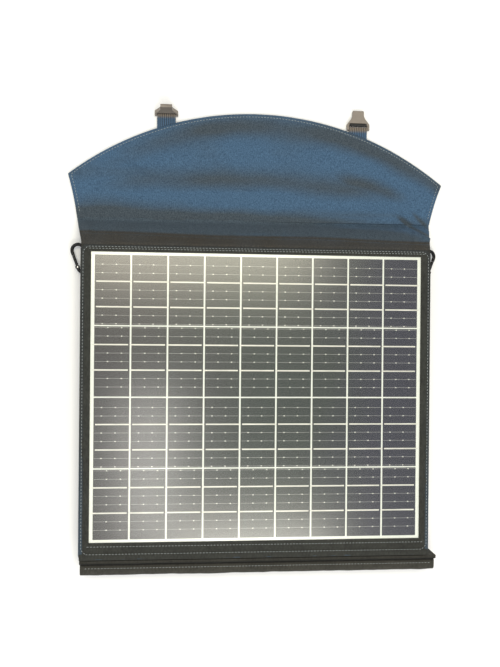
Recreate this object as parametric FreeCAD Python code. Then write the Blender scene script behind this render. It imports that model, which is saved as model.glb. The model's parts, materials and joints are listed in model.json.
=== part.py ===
import FreeCAD
import Part
import math
import os

# A folding fabric solar panel that closes like a suitcase. Millimetres. The front panel lies face up on top,
# the rear panel lies face down under it, and the closing flap slopes to the ground beyond the top edge.
# X runs to the right, Y towards the flap, Z up. The origin is on the ground, under the laminates' centre.

os.makedirs("parts", exist_ok=True)
V = FreeCAD.Vector

# ---- driving dimensions --------------------------------------------------------------------------------
cell_width = 45.5
cell_height = 91.0
columns = 9
rows = 4
column_gap = 2.2
row_gap = 1.8
side_border = 6.45             # white edge of the laminate beside the cells
end_border = 5.3               # white edge above and below the cells

film = 0.6
ribbon_thickness = 0.1
ribbon_width = 1.8
ribbon_inset = 2.0             # bare cell before a ribbon starts
busbar_pitch = 11.0
busbar_first = 12.4            # first busbar from the cell's wide edge
ribbon_bars = (2, 5)           # of eight busbars, counted from the wide edge
cell_thickness = 0.2
backsheet = 0.5
board_thickness = 3.6
cover_thickness = 1.0
frame_cloth = 1.4
tape = 2.0                     # edge binding
side_margin = 12.0             # cloth beside the laminate
top_margin = 8.0
bottom_margin = 21.5
soft_gap = 0.3                 # between soft pieces that move past each other
hinge_gap = 0.5                # between a folding edge and what it folds against

pocket_depth = 32.0            # between the two panels when they lie back to back
spine_thickness = 6.0
spine_width = 473.0
spine_bulge = 18.0
bulge_inset = 7.0              # bulge stays this far inside the spine's folding edges
spine_skin = 1.2

gusset_length = 52.0
gusset_thickness = 4.0
flap_thickness = 4.0
flap_base_width = 480.0
flap_tip_width = 509.0
flap_tip_reach = 59.0          # tips from the flap's base edge
flap_apex_reach = 147.0        # crown of the arc from the base edge
flap_side_hollow = 4.0         # how far the flap's sides bow inwards

webbing_width = 25.0
webbing = 1.2
left_strap_free = 15.0         # webbing between the flap's edge and the buckle's bar
right_strap_free = 9.0
strap_tuck = 22.0              # webbing sewn inside the flap
strap_height = 2.9
left_strap_x = -124.0
right_strap_x = 140.0
left_buckle_tilt = 78.0
buckle_width = 32.0
buckle_thickness = 5.0
buckle_neck = 15.6
buckle_length = 25.0           # from the bar's axis to the neck's end
buckle_tail = 1.8              # cheeks behind the bar
buckle_chamfer = 1.5
buckle_shoulder = 3.0          # widest part of the body, from its slot
buckle_taper = 10.0            # end of the taper, from the slot
buckle_throat = 14.0           # start of the straight neck, from the slot
cheek_round = 1.2
loop_wall = 0.96               # webbing pressed round the bar
bar_radius = 1.6
running_gap = 0.2

controller_width = 133.0
controller_height = 70.0
controller_y = 20.0
shell = 2.2
button_radius = 5.0
button_travel = 1.2

junction_width = 62.0
junction_height = 44.0
junction_depth = 14.0
front_junction_y = 130.0
rear_junction_y = -105.0

carabiner_length = 39.0        # bar centre to bar centre, end to end
carabiner_span = 16.0          # bar centre to bar centre, spine to gate
carabiner_bar = 2.25
carabiner_tilt = 20.0
carabiner_x = 228.0
carabiner_inset = 13.0          # spine bar's middle below the panel's top edge

# ---- sizes and places that follow ----------------------------------------------------------------------
laminate_width = columns * cell_width + (columns - 1) * column_gap + 2 * side_border
laminate_height = rows * cell_height + (rows - 1) * row_gap + 2 * end_border
panel_width = laminate_width + 2 * side_margin
panel_top = laminate_height / 2 + top_margin
panel_bottom = -laminate_height / 2 - bottom_margin
cell_face = film + ribbon_thickness
board_face = cell_face + cell_thickness + backsheet
panel_thickness = board_face + board_thickness + cover_thickness
front_face = 2 * panel_thickness + pocket_depth
front_back = front_face - panel_thickness
front_middle = front_face - panel_thickness / 2
rear_middle = panel_thickness / 2

spine_radius = spine_thickness / 2
spine_y = panel_bottom - hinge_gap - spine_radius

gusset_radius = gusset_thickness / 2
gusset_y = panel_top + hinge_gap + gusset_radius
flap_middle = flap_thickness / 2
gusset_drop = front_middle - flap_middle
flap_hinge_y = gusset_y + math.sqrt(gusset_length ** 2 - gusset_drop ** 2)
gusset_slope = math.degrees(math.asin(gusset_drop / gusset_length))
flap_base = flap_hinge_y + gusset_radius + hinge_gap


def write(name, *solids):
    """One STEP file for one named piece, or one group of like pieces."""
    shape = solids[0] if len(solids) == 1 else Part.makeCompound(list(solids))
    shape.exportStep(f"parts/{name}.step")


def block(x0, x1, y0, y1, z0, z1):
    return Part.makeBox(x1 - x0, y1 - y0, z1 - z0, V(x0, y0, z0))


def centred(x, y, width, height, z0, z1):
    return block(x - width / 2, x + width / 2, y - height / 2, y + height / 2, z0, z1)


def rounded(shape, radius, direction="z"):
    """Round the edges of a block that run along one direction."""
    edges = []
    for edge in shape.Edges:
        run = edge.Vertexes[-1].Point - edge.Vertexes[0].Point
        if run.Length > 0 and abs(getattr(run, direction)) > 0.99 * run.Length:
            edges.append(edge)
    return shape.makeFillet(radius, edges)


def rod(radius, length, start, direction):
    return Part.makeCylinder(radius, length, start, direction)


def prism(points, height, base=V(0, 0, 0)):
    """A flat outline of points, raised by height."""
    corners = [V(x, y, 0) + base for x, y in points]
    return Part.Face(Part.makePolygon(corners + corners[:1])).extrude(V(0, 0, height))


# ---- the two panels --------------------------------------------------------------------------------------
def layer(face, side, near, far):
    """Heights of a layer between two depths under a panel's sunny face; side is 1 face up, -1 face down."""
    ends = (face - side * near, face - side * far)
    return min(ends), max(ends)


def cell_places():
    for row in range(rows):
        top = laminate_height / 2 - end_border - row * (cell_height + row_gap)
        for column in range(columns):
            left = -laminate_width / 2 + side_border + column * (cell_width + column_gap)
            yield row, left, top


def cells(z0, z1):
    return [block(x, x + cell_width, y - cell_height, y, z0, z1) for _, x, y in cell_places()]


def ribbons(z0, z1):
    """Two thick ribbons on each cell, each running on over the gap to the next cell."""
    made = []
    for row, left, top in cell_places():
        even = row % 2 == 0
        for bar in ribbon_bars:
            offset = busbar_first + bar * busbar_pitch
            y = top - offset if even else top - cell_height + offset
            start = left + ribbon_inset if even else left - column_gap
            run = cell_width - ribbon_inset + column_gap
            made.append(block(start, start + run, y - ribbon_width / 2, y + ribbon_width / 2, z0, z1))
    return made


def panel(name, face, side):
    """Window cloth, binding, laminate, board and back cloth of one panel."""
    width, bottom, top = panel_width, panel_bottom, panel_top
    inner = (-width / 2 + tape, width / 2 - tape, bottom + tape, top - tape)
    whole = layer(face, side, 0, panel_thickness)
    window_heights = layer(face, side, 0, frame_cloth)
    binding = block(-width / 2, width / 2, bottom, top, *whole).cut(block(*inner, *whole))
    window = block(*inner, *window_heights)
    window = window.cut(centred(0, 0, laminate_width, laminate_height, *window_heights))
    board = block(*inner, *layer(face, side, board_face, board_face + board_thickness))
    write(f"{name}_edge_binding", binding)
    write(f"{name}_window_cloth", window)
    write(f"{name}_stiffener_board", board)
    write(f"{name}_back_cloth", block(*inner, *layer(face, side, panel_thickness - cover_thickness,
                                                     panel_thickness)))
    write(f"{name}_backsheet", centred(0, 0, laminate_width, laminate_height,
                                       *layer(face, side, cell_face + cell_thickness, board_face)))
    write(f"{name}_film", centred(0, 0, laminate_width, laminate_height, *layer(face, side, 0, film)))
    write(f"{name}_cells", *cells(*layer(face, side, cell_face, cell_face + cell_thickness)))
    write(f"{name}_ribbons", *ribbons(*layer(face, side, film, cell_face)))


panel("front", front_face, 1)
panel("rear", 0.0, -1)


# ---- spine -----------------------------------------------------------------------------------------------
def spine():
    """Cloth gusset over a foam core; its two round edges turn about the panels' folding lines."""
    half = spine_width / 2
    core_parts = []
    shell_parts = []
    for grow, parts in ((0.0, shell_parts), (spine_skin, core_parts)):
        reach = half - grow
        radius = spine_radius - grow
        parts.append(block(-reach, reach, spine_y - radius, spine_y + radius, rear_middle, front_middle))
        for z in (rear_middle, front_middle):
            parts.append(rod(radius, 2 * reach, V(-reach, spine_y, z), V(1, 0, 0)))
        low = rear_middle + bulge_inset + grow
        high = front_middle - bulge_inset - grow
        bulge = block(-reach, reach, spine_y - spine_radius - spine_bulge + grow, spine_y, low, high)
        parts.append(rounded_front(bulge, (high - low) * 0.4))
    outer = shell_parts[0].multiFuse(shell_parts[1:]).removeSplitter()
    core = core_parts[0].multiFuse(core_parts[1:]).removeSplitter()
    write("spine_cover", outer.cut(core))
    write("spine_foam", core)


def rounded_front(shape, radius):
    """Round the two long edges on a block's lowest-Y side."""
    front = shape.BoundBox.YMin
    edges = [edge for edge in shape.Edges
             if edge.BoundBox.XLength > 1 and abs(edge.BoundBox.YMax - front) < 0.01]
    return shape.makeFillet(radius, edges)


spine()


# ---- carry handle, sewn to the spine's inner face ----------------------------------------------------------
handle_length = 150.0
handle_reach = 22.0
handle_strap = 20.0
handle_thickness = 2.4
handle_tab = 28.0
sleeve_length = 92.0
sleeve_wall = 1.6


def handle():
    """A strap bowed away from the spine, with a grip sleeve around its straight middle."""
    middle = front_middle - (front_middle - rear_middle) / 2
    foot = spine_y + spine_radius
    bow = handle_length / 2
    points = [(-bow - handle_tab, 0), (-bow, 0), (-bow + handle_reach, handle_reach - handle_thickness),
              (bow - handle_reach, handle_reach - handle_thickness), (bow, 0), (bow + handle_tab, 0)]
    upper = [(x, y + handle_thickness) for x, y in reversed(points)]
    strap = prism(points + upper, handle_strap, V(0, foot, middle - handle_strap / 2))
    write("carry_handle_strap", strap)
    half = sleeve_length / 2
    low = foot + handle_reach - handle_thickness
    grow = running_gap + sleeve_wall
    outer = block(-half, half, low - grow, low + handle_thickness + grow,
                  middle - handle_strap / 2 - grow, middle + handle_strap / 2 + grow)
    hole = block(-half, half, low - running_gap, low + handle_thickness + running_gap,
                 middle - handle_strap / 2 - running_gap, middle + handle_strap / 2 + running_gap)
    write("carry_handle_sleeve", rounded(outer, 1.5, "x").cut(hole))


handle()


# ---- closing flap ------------------------------------------------------------------------------------------
def gusset():
    """Sloping cloth panel from the front panel's top edge to the flap, with round folding edges."""
    half_top = panel_width / 2
    half_low = flap_base_width / 2
    flat = prism([(-half_top, 0), (half_top, 0), (half_low, gusset_length), (-half_low, gusset_length)],
                 gusset_thickness, V(0, 0, -gusset_radius))
    ends = [rod(gusset_radius, 2 * half_top, V(-half_top, 0, 0), V(1, 0, 0)),
            rod(gusset_radius, 2 * half_low, V(-half_low, gusset_length, 0), V(1, 0, 0))]
    shape = flat.multiFuse(ends).removeSplitter()
    shape.rotate(V(0, 0, 0), V(1, 0, 0), -gusset_slope)
    shape.translate(V(0, gusset_y, front_middle))
    write("flap_gusset", shape)


def arc_radius():
    rise = flap_apex_reach - flap_tip_reach
    half = flap_tip_width / 2
    return (half ** 2 + rise ** 2) / (2 * rise)


def flap_edge(x):
    """The arc's Y at one X."""
    radius = arc_radius()
    return flap_base + flap_apex_reach - radius + math.sqrt(radius ** 2 - x ** 2)


def flap():
    """Arched flap with hollow sides, its hem open where the two straps are sewn in."""
    base, tip = flap_base_width / 2, flap_tip_width / 2
    tips = flap_base + flap_tip_reach
    waist = V((base + tip) / 2 - flap_side_hollow, flap_base + flap_tip_reach / 2, 0)
    edges = [Part.makeLine(V(-base, flap_base, 0), V(base, flap_base, 0)),
             Part.Arc(V(base, flap_base, 0), waist, V(tip, tips, 0)).toShape(),
             Part.Arc(V(tip, tips, 0), V(0, flap_base + flap_apex_reach, 0), V(-tip, tips, 0)).toShape(),
             Part.Arc(V(-tip, tips, 0), V(-waist.x, waist.y, 0), V(-base, flap_base, 0)).toShape()]
    shape = Part.Face(Part.Wire(edges)).extrude(V(0, 0, flap_thickness))
    for x in (left_strap_x, right_strap_x):
        shape = shape.cut(strap_tongue(x, soft_gap))
    write("closing_flap", shape)


def bar_y(x):
    return flap_edge(x) + (left_strap_free if x < 0 else right_strap_free)


def strap_tongue(x, grow=0.0):
    """The flat run of a strap, from inside the flap's hem out to the buckle's bar."""
    half = webbing_width / 2 + grow
    low = strap_height - webbing / 2 - grow
    high = strap_height + webbing / 2 + grow
    return block(x - half, x + half, flap_edge(x) - strap_tuck - grow, bar_y(x), low, high)


def strap(name, x):
    """Webbing sewn into the hem, its free end looped round the buckle's bar."""
    centre = V(x - webbing_width / 2, bar_y(x), strap_height)
    loop = rod(bar_radius + running_gap + loop_wall, webbing_width, centre, V(1, 0, 0))
    shape = strap_tongue(x).fuse(loop).cut(rod(bar_radius + running_gap, webbing_width, centre, V(1, 0, 0)))
    write(name, shape.removeSplitter())


def buckle(name, x, tilt):
    """Plug half of a side-release buckle: bar between two cheeks, slot, and a body tapering to a neck."""
    half = buckle_width / 2
    cheek = half - webbing_width / 2 - hinge_gap
    slot_end = bar_radius + running_gap + webbing + hinge_gap
    neck = buckle_neck / 2
    low = -buckle_thickness / 2
    right_side = [(half, slot_end), (half - buckle_chamfer, slot_end + buckle_shoulder),
                  (neck + buckle_chamfer, slot_end + buckle_taper), (neck, slot_end + buckle_throat),
                  (neck, buckle_length)]
    left_side = [(-across, along) for across, along in reversed(right_side)]
    body = prism(right_side + left_side, buckle_thickness, V(0, 0, low))
    parts = [rod(bar_radius, 2 * half - cheek, V(-half + cheek / 2, 0, 0), V(1, 0, 0))]
    for side in (-1, 1):
        ear = block(half - cheek, half, -buckle_tail, slot_end, low, -low)
        ear = rounded(ear, cheek_round, "x")
        if side < 0:
            ear = ear.mirror(V(0, 0, 0), V(1, 0, 0))
        parts.append(ear)
    shape = body.multiFuse(parts).removeSplitter()
    shape.rotate(V(0, 0, 0), V(1, 0, 0), tilt)
    shape.translate(V(x, bar_y(x), strap_height))
    write(name, shape)


gusset()
flap()
strap("left_strap", left_strap_x)
strap("right_strap", right_strap_x)
buckle("left_buckle_plug", left_strap_x, left_buckle_tilt)
buckle("right_buckle_plug", right_strap_x, 0.0)


# ---- buckle sockets on the rear panel's back, met by the plugs when the flap is closed -----------------------
socket_length = 34.0
socket_height = 9.0
socket_wall = 1.6
socket_strap = 52.0
socket_clearance = 2.0
socket_round = 2.0
socket_heel = 10.0             # solid end behind the mouth
socket_window = 8.0            # opening for the strap's loop
socket_bar_inset = 4.5


def socket(x):
    """A hollow socket with its mouth towards the flap, and the strap that sews it to the back cloth."""
    tip = gusset_y - (bar_y(x) + buckle_length - flap_hinge_y)
    top = tip - socket_clearance
    floor = panel_thickness + soft_gap
    low = top - socket_length
    outer = rounded(centred(x, (top + low) / 2, buckle_width, socket_length, floor, floor + socket_height), socket_round)
    mouth = block(x - buckle_width / 2 + socket_wall, x + buckle_width / 2 - socket_wall,
                  low + socket_heel, top, floor + socket_wall, floor + socket_height - socket_wall)
    outer = outer.cut(mouth)
    bar_centre = V(x - webbing_width / 2 - hinge_gap, low + socket_bar_inset, floor + socket_height / 2)
    window = block(x - webbing_width / 2 - hinge_gap, x + webbing_width / 2 + hinge_gap,
                   low, low + socket_window, floor, floor + socket_height)
    bar = rod(bar_radius, webbing_width + 2 * hinge_gap, bar_centre, V(1, 0, 0))
    hollow = outer.cut(window).fuse(bar).removeSplitter()
    sewn = block(x - webbing_width / 2, x + webbing_width / 2, low - socket_strap, low + socket_bar_inset,
                 panel_thickness, panel_thickness + webbing)
    rise_start = V(x - webbing_width / 2, low + socket_bar_inset, floor + socket_height / 2)
    radius = bar_radius + running_gap + webbing
    loop = rod(radius, webbing_width, rise_start, V(1, 0, 0))
    leg = block(x - webbing_width / 2, x + webbing_width / 2, low + socket_bar_inset - radius, low + socket_bar_inset - radius + webbing,
                panel_thickness, floor + socket_height / 2)
    hole = rod(bar_radius + running_gap, webbing_width, rise_start, V(1, 0, 0))
    return hollow, sewn.multiFuse([loop, leg]).cut(hole).removeSplitter()


sockets = [socket(x) for x in (left_strap_x, right_strap_x)]
write("buckle_sockets", *[hollow for hollow, _ in sockets])
write("socket_straps", *[band for _, band in sockets])


# ---- junction box behind each laminate -----------------------------------------------------------------------
box_wall = 2.0
box_base = 9.0
gasket = 1.0
screw_radius = 1.25
screw_head = 2.6
screw_head_height = 1.6
boss_radius = 3.6
boss_inset = 3.0               # from a boss's axis to the walls that it grows out of
gland_radius = 5.2
gland_bore = 3.0
gland_length = 11.0
fit_gap = 0.05


def outward(side, near, far):
    """Heights between two depths measured outwards from a panel's back; side as for layer."""
    start = front_back if side > 0 else panel_thickness
    ends = (start - side * near, start - side * far)
    return min(ends), max(ends)


def screw(x, y, side, near, far, radius=screw_radius):
    """A pan-head screw whose head lies at its far end, seen from the panel's back."""
    head = outward(side, far - screw_head_height, far)
    shank = outward(side, near, far - screw_head_height)
    shape = rod(radius, shank[1] - shank[0], V(x, y, shank[0]), V(0, 0, 1))
    return shape.fuse(rod(screw_head, head[1] - head[0], V(x, y, head[0]), V(0, 0, 1))).removeSplitter()


def bore(x, y, side, near, far, radius):
    ends = outward(side, near, far)
    return rod(radius, ends[1] - ends[0], V(x, y, ends[0]), V(0, 0, 1))


def junction_box(name, side, y):
    width, height, depth = junction_width, junction_height, junction_depth
    inner_width, inner_height = width - 2 * box_wall, height - 2 * box_wall
    corners = [(sx * (inner_width / 2 - boss_inset), y + sy * (inner_height / 2 - boss_inset))
               for sx in (-1, 1) for sy in (-1, 1)]
    base = rounded(centred(0, y, width, height, *outward(side, 0, box_base)), 3.0)
    base = base.cut(centred(0, y, inner_width, inner_height, *outward(side, box_wall, box_base)))
    base = base.multiFuse([bore(cx, cy, side, box_wall, box_base, boss_radius) for cx, cy in corners])
    holes = [bore(cx, cy, side, box_wall + 1, depth, screw_radius + fit_gap) for cx, cy in corners]
    middle = sum(outward(side, 0, box_base + 2)) / 2
    wall_y = y - height / 2
    duct = rod(gland_bore, box_wall + 2, V(0, wall_y - 1, middle), V(0, 1, 0))
    base = base.cut(holes[0].multiFuse(holes[1:] + [duct])).removeSplitter()
    write(f"{name}_junction_base", base)

    seal = rounded(centred(0, y, width, height, *outward(side, box_base, box_base + gasket)), 3.0)
    seal = seal.cut(centred(0, y, inner_width, inner_height, *outward(side, box_base, box_base + gasket)))
    write(f"{name}_junction_gasket", seal)

    lid = rounded(centred(0, y, width, height, *outward(side, box_base + gasket, depth)), 3.0)
    heads = [bore(cx, cy, side, depth - screw_head_height, depth, screw_head + 0.2) for cx, cy in corners]
    lid = lid.cut(holes[0].multiFuse(holes[1:] + heads))
    write(f"{name}_junction_lid", lid)
    write(f"{name}_junction_screws", *[screw(cx, cy, side, box_wall + 2, depth) for cx, cy in corners])

    bar_height = 2.5
    bars = [centred(sx * 11.0, y, 7.0, 24.0, *outward(side, box_wall, box_wall + bar_height))
            for sx in (-1, 1)]
    write(f"{name}_junction_terminals", *bars)
    level = outward(side, box_wall, box_wall + bar_height + 2.5)[0 if side > 0 else 1]
    diode = rod(2.5, 9.0, V(-4.5, y, level), V(1, 0, 0))
    for sx in (-1, 1):
        lead_x = sx * 11.0
        lead = block(min(lead_x, sx * 4.5), max(lead_x, sx * 4.5), y - 0.5, y + 0.5, level - 0.5, level + 0.5)
        foot = centred(lead_x, y, 1.0, 1.0, *outward(side, box_wall + bar_height, box_wall + bar_height + 2.5))
        diode = diode.multiFuse([lead, foot])
    write(f"{name}_bypass_diode", diode.removeSplitter())

    nut = rod(gland_radius, gland_length, V(0, wall_y - gland_length, middle), V(0, 1, 0))
    nut = nut.cut(rod(gland_bore, gland_length + 2, V(0, wall_y - gland_length - 1, middle), V(0, 1, 0)))
    write(f"{name}_cable_gland", nut)


junction_box("front", 1, front_junction_y)
junction_box("rear", -1, rear_junction_y)


# ---- charge controller on the front panel's back --------------------------------------------------------------
controller_depth = pocket_depth - soft_gap
split = 14.0                    # back shell's height
circuit_board = 1.6
board_level = controller_depth - 9.3
board_half_width = 58.0
board_margin = 1.0
board_feet = (40.0, 27.0)       # circuit board's screws from its middle
case_round = 4.0
head_gap = 0.2                  # round a screw's head
boss_gap = 0.5
window_lip = 2.0                # face shell over the display window's edge
window_thickness = 1.2
lcd_width, lcd_height = 52.0, 28.0
lcd_y = 10.0                    # LCD's centre from the controller's middle
button_x = 46.0
button_y = 10.0
button_rim = 0.3                # cap below the shell's face
flange_width = 1.2
flange_thickness = 1.0
stem_radius = 1.5
switch_size = 6.0
switch_height = 2.0
terminal_ways = 4
way_pitch = 13.0
wire_hole = 6.0
terminal_depth = 15.0
terminal_height = 15.0
notch_gap = 0.3
wire_depth = 11.0
wire_drop = 5.0                 # wire's axis below the module's top
clamp_y = 7.0                   # clamping screw from the module's mouth
clamp_hole = 2.2
clamp_radius = 1.6
clamp_length = 6.5
clamp_foot = 1.2
clamp_head = 2.1
clamp_head_height = 1.8
clamp_head_foot = 0.6


def controller():
    y0 = controller_y
    width, height, depth = controller_width, controller_height, controller_depth
    inner_width, inner_height = width - 2 * shell, height - 2 * shell
    block_width = terminal_ways * way_pitch + 2 * notch_gap
    foot = y0 - height / 2
    corners = [(sx * (inner_width / 2 - boss_inset), y0 + sy * (inner_height / 2 - boss_inset))
               for sx in (-1, 1) for sy in (-1, 1)]
    board_corners = [(sx * board_feet[0], y0 + sy * board_feet[1]) for sx in (-1, 1) for sy in (0, 1)]
    case_holes = [bore(cx, cy, 1, shell + 1, depth, screw_radius + fit_gap) for cx, cy in corners]
    board_holes = [bore(cx, cy, 1, shell + 1, board_level + circuit_board, screw_radius + fit_gap)
                   for cx, cy in board_corners]
    drilled = case_holes[0].multiFuse(case_holes[1:] + board_holes)

    back = rounded(centred(0, y0, width, height, *outward(1, 0, split)), case_round)
    back = back.cut(centred(0, y0, inner_width, inner_height, *outward(1, shell, split)))
    bosses = [bore(cx, cy, 1, shell, split, boss_radius) for cx, cy in corners]
    posts = [bore(cx, cy, 1, shell, board_level, boss_radius) for cx, cy in board_corners]
    back = back.multiFuse(bosses + posts).cut(drilled).removeSplitter()
    write("controller_back_shell", back)

    face = rounded(centred(0, y0, width, height, *outward(1, split, depth)), case_round)
    face = face.cut(centred(0, y0, inner_width, inner_height, *outward(1, split, depth - shell)))
    face = face.multiFuse([bore(cx, cy, 1, split, depth - shell, boss_radius) for cx, cy in corners])
    heads = [bore(cx, cy, 1, depth - screw_head_height, depth, screw_head + head_gap) for cx, cy in corners]
    lcd_hole = centred(0, y0 + lcd_y, lcd_width - 2 * window_lip, lcd_height - 2 * window_lip,
                       *outward(1, split, depth))
    button_holes = [bore(sx * button_x, y0 + button_y, 1, split, depth, button_radius + running_gap)
                    for sx in (-1, 1)]
    notch = block(-block_width / 2, block_width / 2, foot - 1, foot + terminal_depth,
                  *outward(1, split, depth + 1))
    face = face.cut(drilled.multiFuse(heads + [lcd_hole, notch] + button_holes)).removeSplitter()
    write("controller_face_shell", face)
    fasteners = [screw(cx, cy, 1, shell + 2, depth) for cx, cy in corners]

    pcb = block(-board_half_width, board_half_width, foot + terminal_depth + board_margin,
                y0 + inner_height / 2 - board_margin,
                *outward(1, board_level, board_level + circuit_board))
    clear = [bore(cx, cy, 1, split, depth, boss_radius + boss_gap) for cx, cy in corners]
    pcb = pcb.cut(drilled.multiFuse(clear)).removeSplitter()
    write("controller_circuit_board", pcb)
    top = board_level + circuit_board
    fasteners += [screw(cx, cy, 1, shell + 3, top + screw_head_height) for cx, cy in board_corners]
    write("controller_screws", *fasteners)
    pane = depth - shell
    write("controller_display", centred(0, y0 + lcd_y, lcd_width, lcd_height, *outward(1, top, pane - window_thickness)))
    write("display_window", centred(0, y0 + lcd_y, lcd_width, lcd_height,
                                    *outward(1, pane - window_thickness, pane)))
    switch = top + switch_height
    write("button_switches", *[centred(sx * button_x, y0 + button_y, switch_size, switch_size,
                                        *outward(1, top, switch))
                               for sx in (-1, 1)])
    for name, sx in (("menu_button", -1), ("set_button", 1)):
        x, y = sx * button_x, y0 + button_y
        seat = pane - running_gap
        cap = bore(x, y, 1, seat, depth - button_rim, button_radius)
        flange = bore(x, y, 1, seat - flange_thickness, seat, button_radius + flange_width)
        stem = bore(x, y, 1, switch + button_travel + running_gap, seat - flange_thickness, stem_radius)
        write(name, cap.multiFuse([flange, stem]).removeSplitter())

    low, high = outward(1, split + notch_gap, split + notch_gap + terminal_height)
    wire_level = high - wire_drop
    modules = []
    clamps = []
    for way in range(terminal_ways):
        x = (way - (terminal_ways - 1) / 2) * way_pitch
        half = way_pitch / 2 - fit_gap
        module = block(x - half, x + half, foot, foot + terminal_depth - notch_gap, low, high)
        wire_way = block(x - wire_hole / 2, x + wire_hole / 2, foot - 1, foot + wire_depth,
                         wire_level - wire_hole / 2, wire_level + wire_hole / 2)
        screw_way = rod(clamp_hole, wire_level - low, V(x, foot + clamp_y, low), V(0, 0, 1))
        modules.append(module.cut(wire_way.fuse(screw_way)).removeSplitter())
        clamp = rod(clamp_radius, clamp_length, V(x, foot + clamp_y, low + clamp_foot), V(0, 0, 1))
        head = rod(clamp_head, clamp_head_height, V(x, foot + clamp_y, low + clamp_head_foot), V(0, 0, 1))
        clamps.append(clamp.fuse(head).removeSplitter())
    write("terminal_blocks", *modules)
    write("terminal_screws", *clamps)


controller()


# ---- carabiners, one in a webbing loop behind each upper corner -------------------------------------------------
gate_open = 25.0               # degrees
pin_radius = 0.8
knuckle_radius = 3.0
tongue = 2.0
gate_radius = 1.9
nose_reach = 4.0               # nose below the end of the top bend
loop_width = 10.0
pin_rise = 2.0                 # gate's pin above the start of the lower bend
stem_half = 1.6


def carabiner_level():
    return panel_thickness + soft_gap + webbing + running_gap + carabiner_bar


def place(shape, side):
    """Turn a shape from the carabiner's own frame (spine on the Y axis, gate towards +X) to its corner."""
    shape.rotate(V(0, 0, 0), V(0, 0, 1), -carabiner_tilt)
    shape.translate(V(carabiner_x, panel_top - carabiner_inset, carabiner_level()))
    return shape if side > 0 else shape.mirror(V(0, 0, 0), V(1, 0, 0))


def carabiner(name, side):
    span, bar = carabiner_span, carabiner_bar
    bend = span / 2
    straight = carabiner_length / 2 - bend
    pin_y = -straight + pin_rise
    path = Part.Wire([
        Part.makeLine(V(span, straight - nose_reach, 0), V(span, straight, 0)),
        Part.Arc(V(span, straight, 0), V(bend, straight + bend, 0), V(0, straight, 0)).toShape(),
        Part.makeLine(V(0, straight, 0), V(0, -straight, 0)),
        Part.Arc(V(0, -straight, 0), V(bend, -straight - bend, 0), V(span, -straight, 0)).toShape()])
    profile = Part.Wire([Part.makeCircle(bar, V(span, straight - nose_reach, 0), V(0, 1, 0))])
    ring = path.makePipeShell([profile], True, True)
    knuckle = rod(knuckle_radius, 2 * bar, V(span, pin_y, -bar), V(0, 0, 1))
    neck = rod(bar, pin_y + straight, V(span, -straight, 0), V(0, 1, 0))
    slot_half = tongue / 2 + running_gap
    slot = block(span - 6, span + 6, pin_y - knuckle_radius - 0.2, pin_y + 6, -slot_half, slot_half)
    pin_hole = rod(pin_radius, 2 * bar, V(span, pin_y, -bar), V(0, 0, 1))
    frame = ring.multiFuse([knuckle, neck]).cut(slot.fuse(pin_hole)).removeSplitter()
    write(f"{name}_carabiner", place(frame, side))
    write(f"{name}_gate_pin", place(rod(pin_radius, 2 * bar, V(span, pin_y, -bar), V(0, 0, 1)), side))

    eye = rod(knuckle_radius - 0.4, tongue, V(span, pin_y, -tongue / 2), V(0, 0, 1))
    start = pin_y + knuckle_radius + hinge_gap
    stem = block(span - stem_half, span + stem_half, pin_y, start + 2, -tongue / 2, tongue / 2)
    end = straight - nose_reach - hinge_gap
    gate = rod(gate_radius, end - start, V(span, start, 0), V(0, 1, 0))
    gate = gate.multiFuse([eye, stem]).cut(
        rod(pin_radius + fit_gap, tongue + 2, V(span, pin_y, -tongue / 2 - 1), V(0, 0, 1)))
    write(f"{name}_gate", place(gate.removeSplitter(), side))


def carabiner_loop(side):
    """Doubled webbing from the front panel's back, opening round the carabiner's spine bar."""
    inner = carabiner_bar + running_gap
    half = loop_width / 2
    top = front_back - carabiner_level()
    band = block(-webbing, webbing, -half, half, 0, top)
    ring = rod(inner + webbing, loop_width, V(0, -half, 0), V(0, 1, 0))
    hollow = rod(inner, loop_width, V(0, -half, 0), V(0, 1, 0))
    return place(band.fuse(ring).cut(hollow).removeSplitter(), side)


carabiner("left", -1)
carabiner("right", 1)
write("carabiner_loops", carabiner_loop(-1), carabiner_loop(1))
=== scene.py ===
"""Looks of a folding solar panel case: canvas, laminates, webbing, buckles and fittings round its frame."""
import json
import math
from collections import namedtuple

import bmesh
import bpy
from bpy.props import FloatProperty, FloatVectorProperty, IntProperty, PointerProperty
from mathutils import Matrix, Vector, noise


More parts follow.
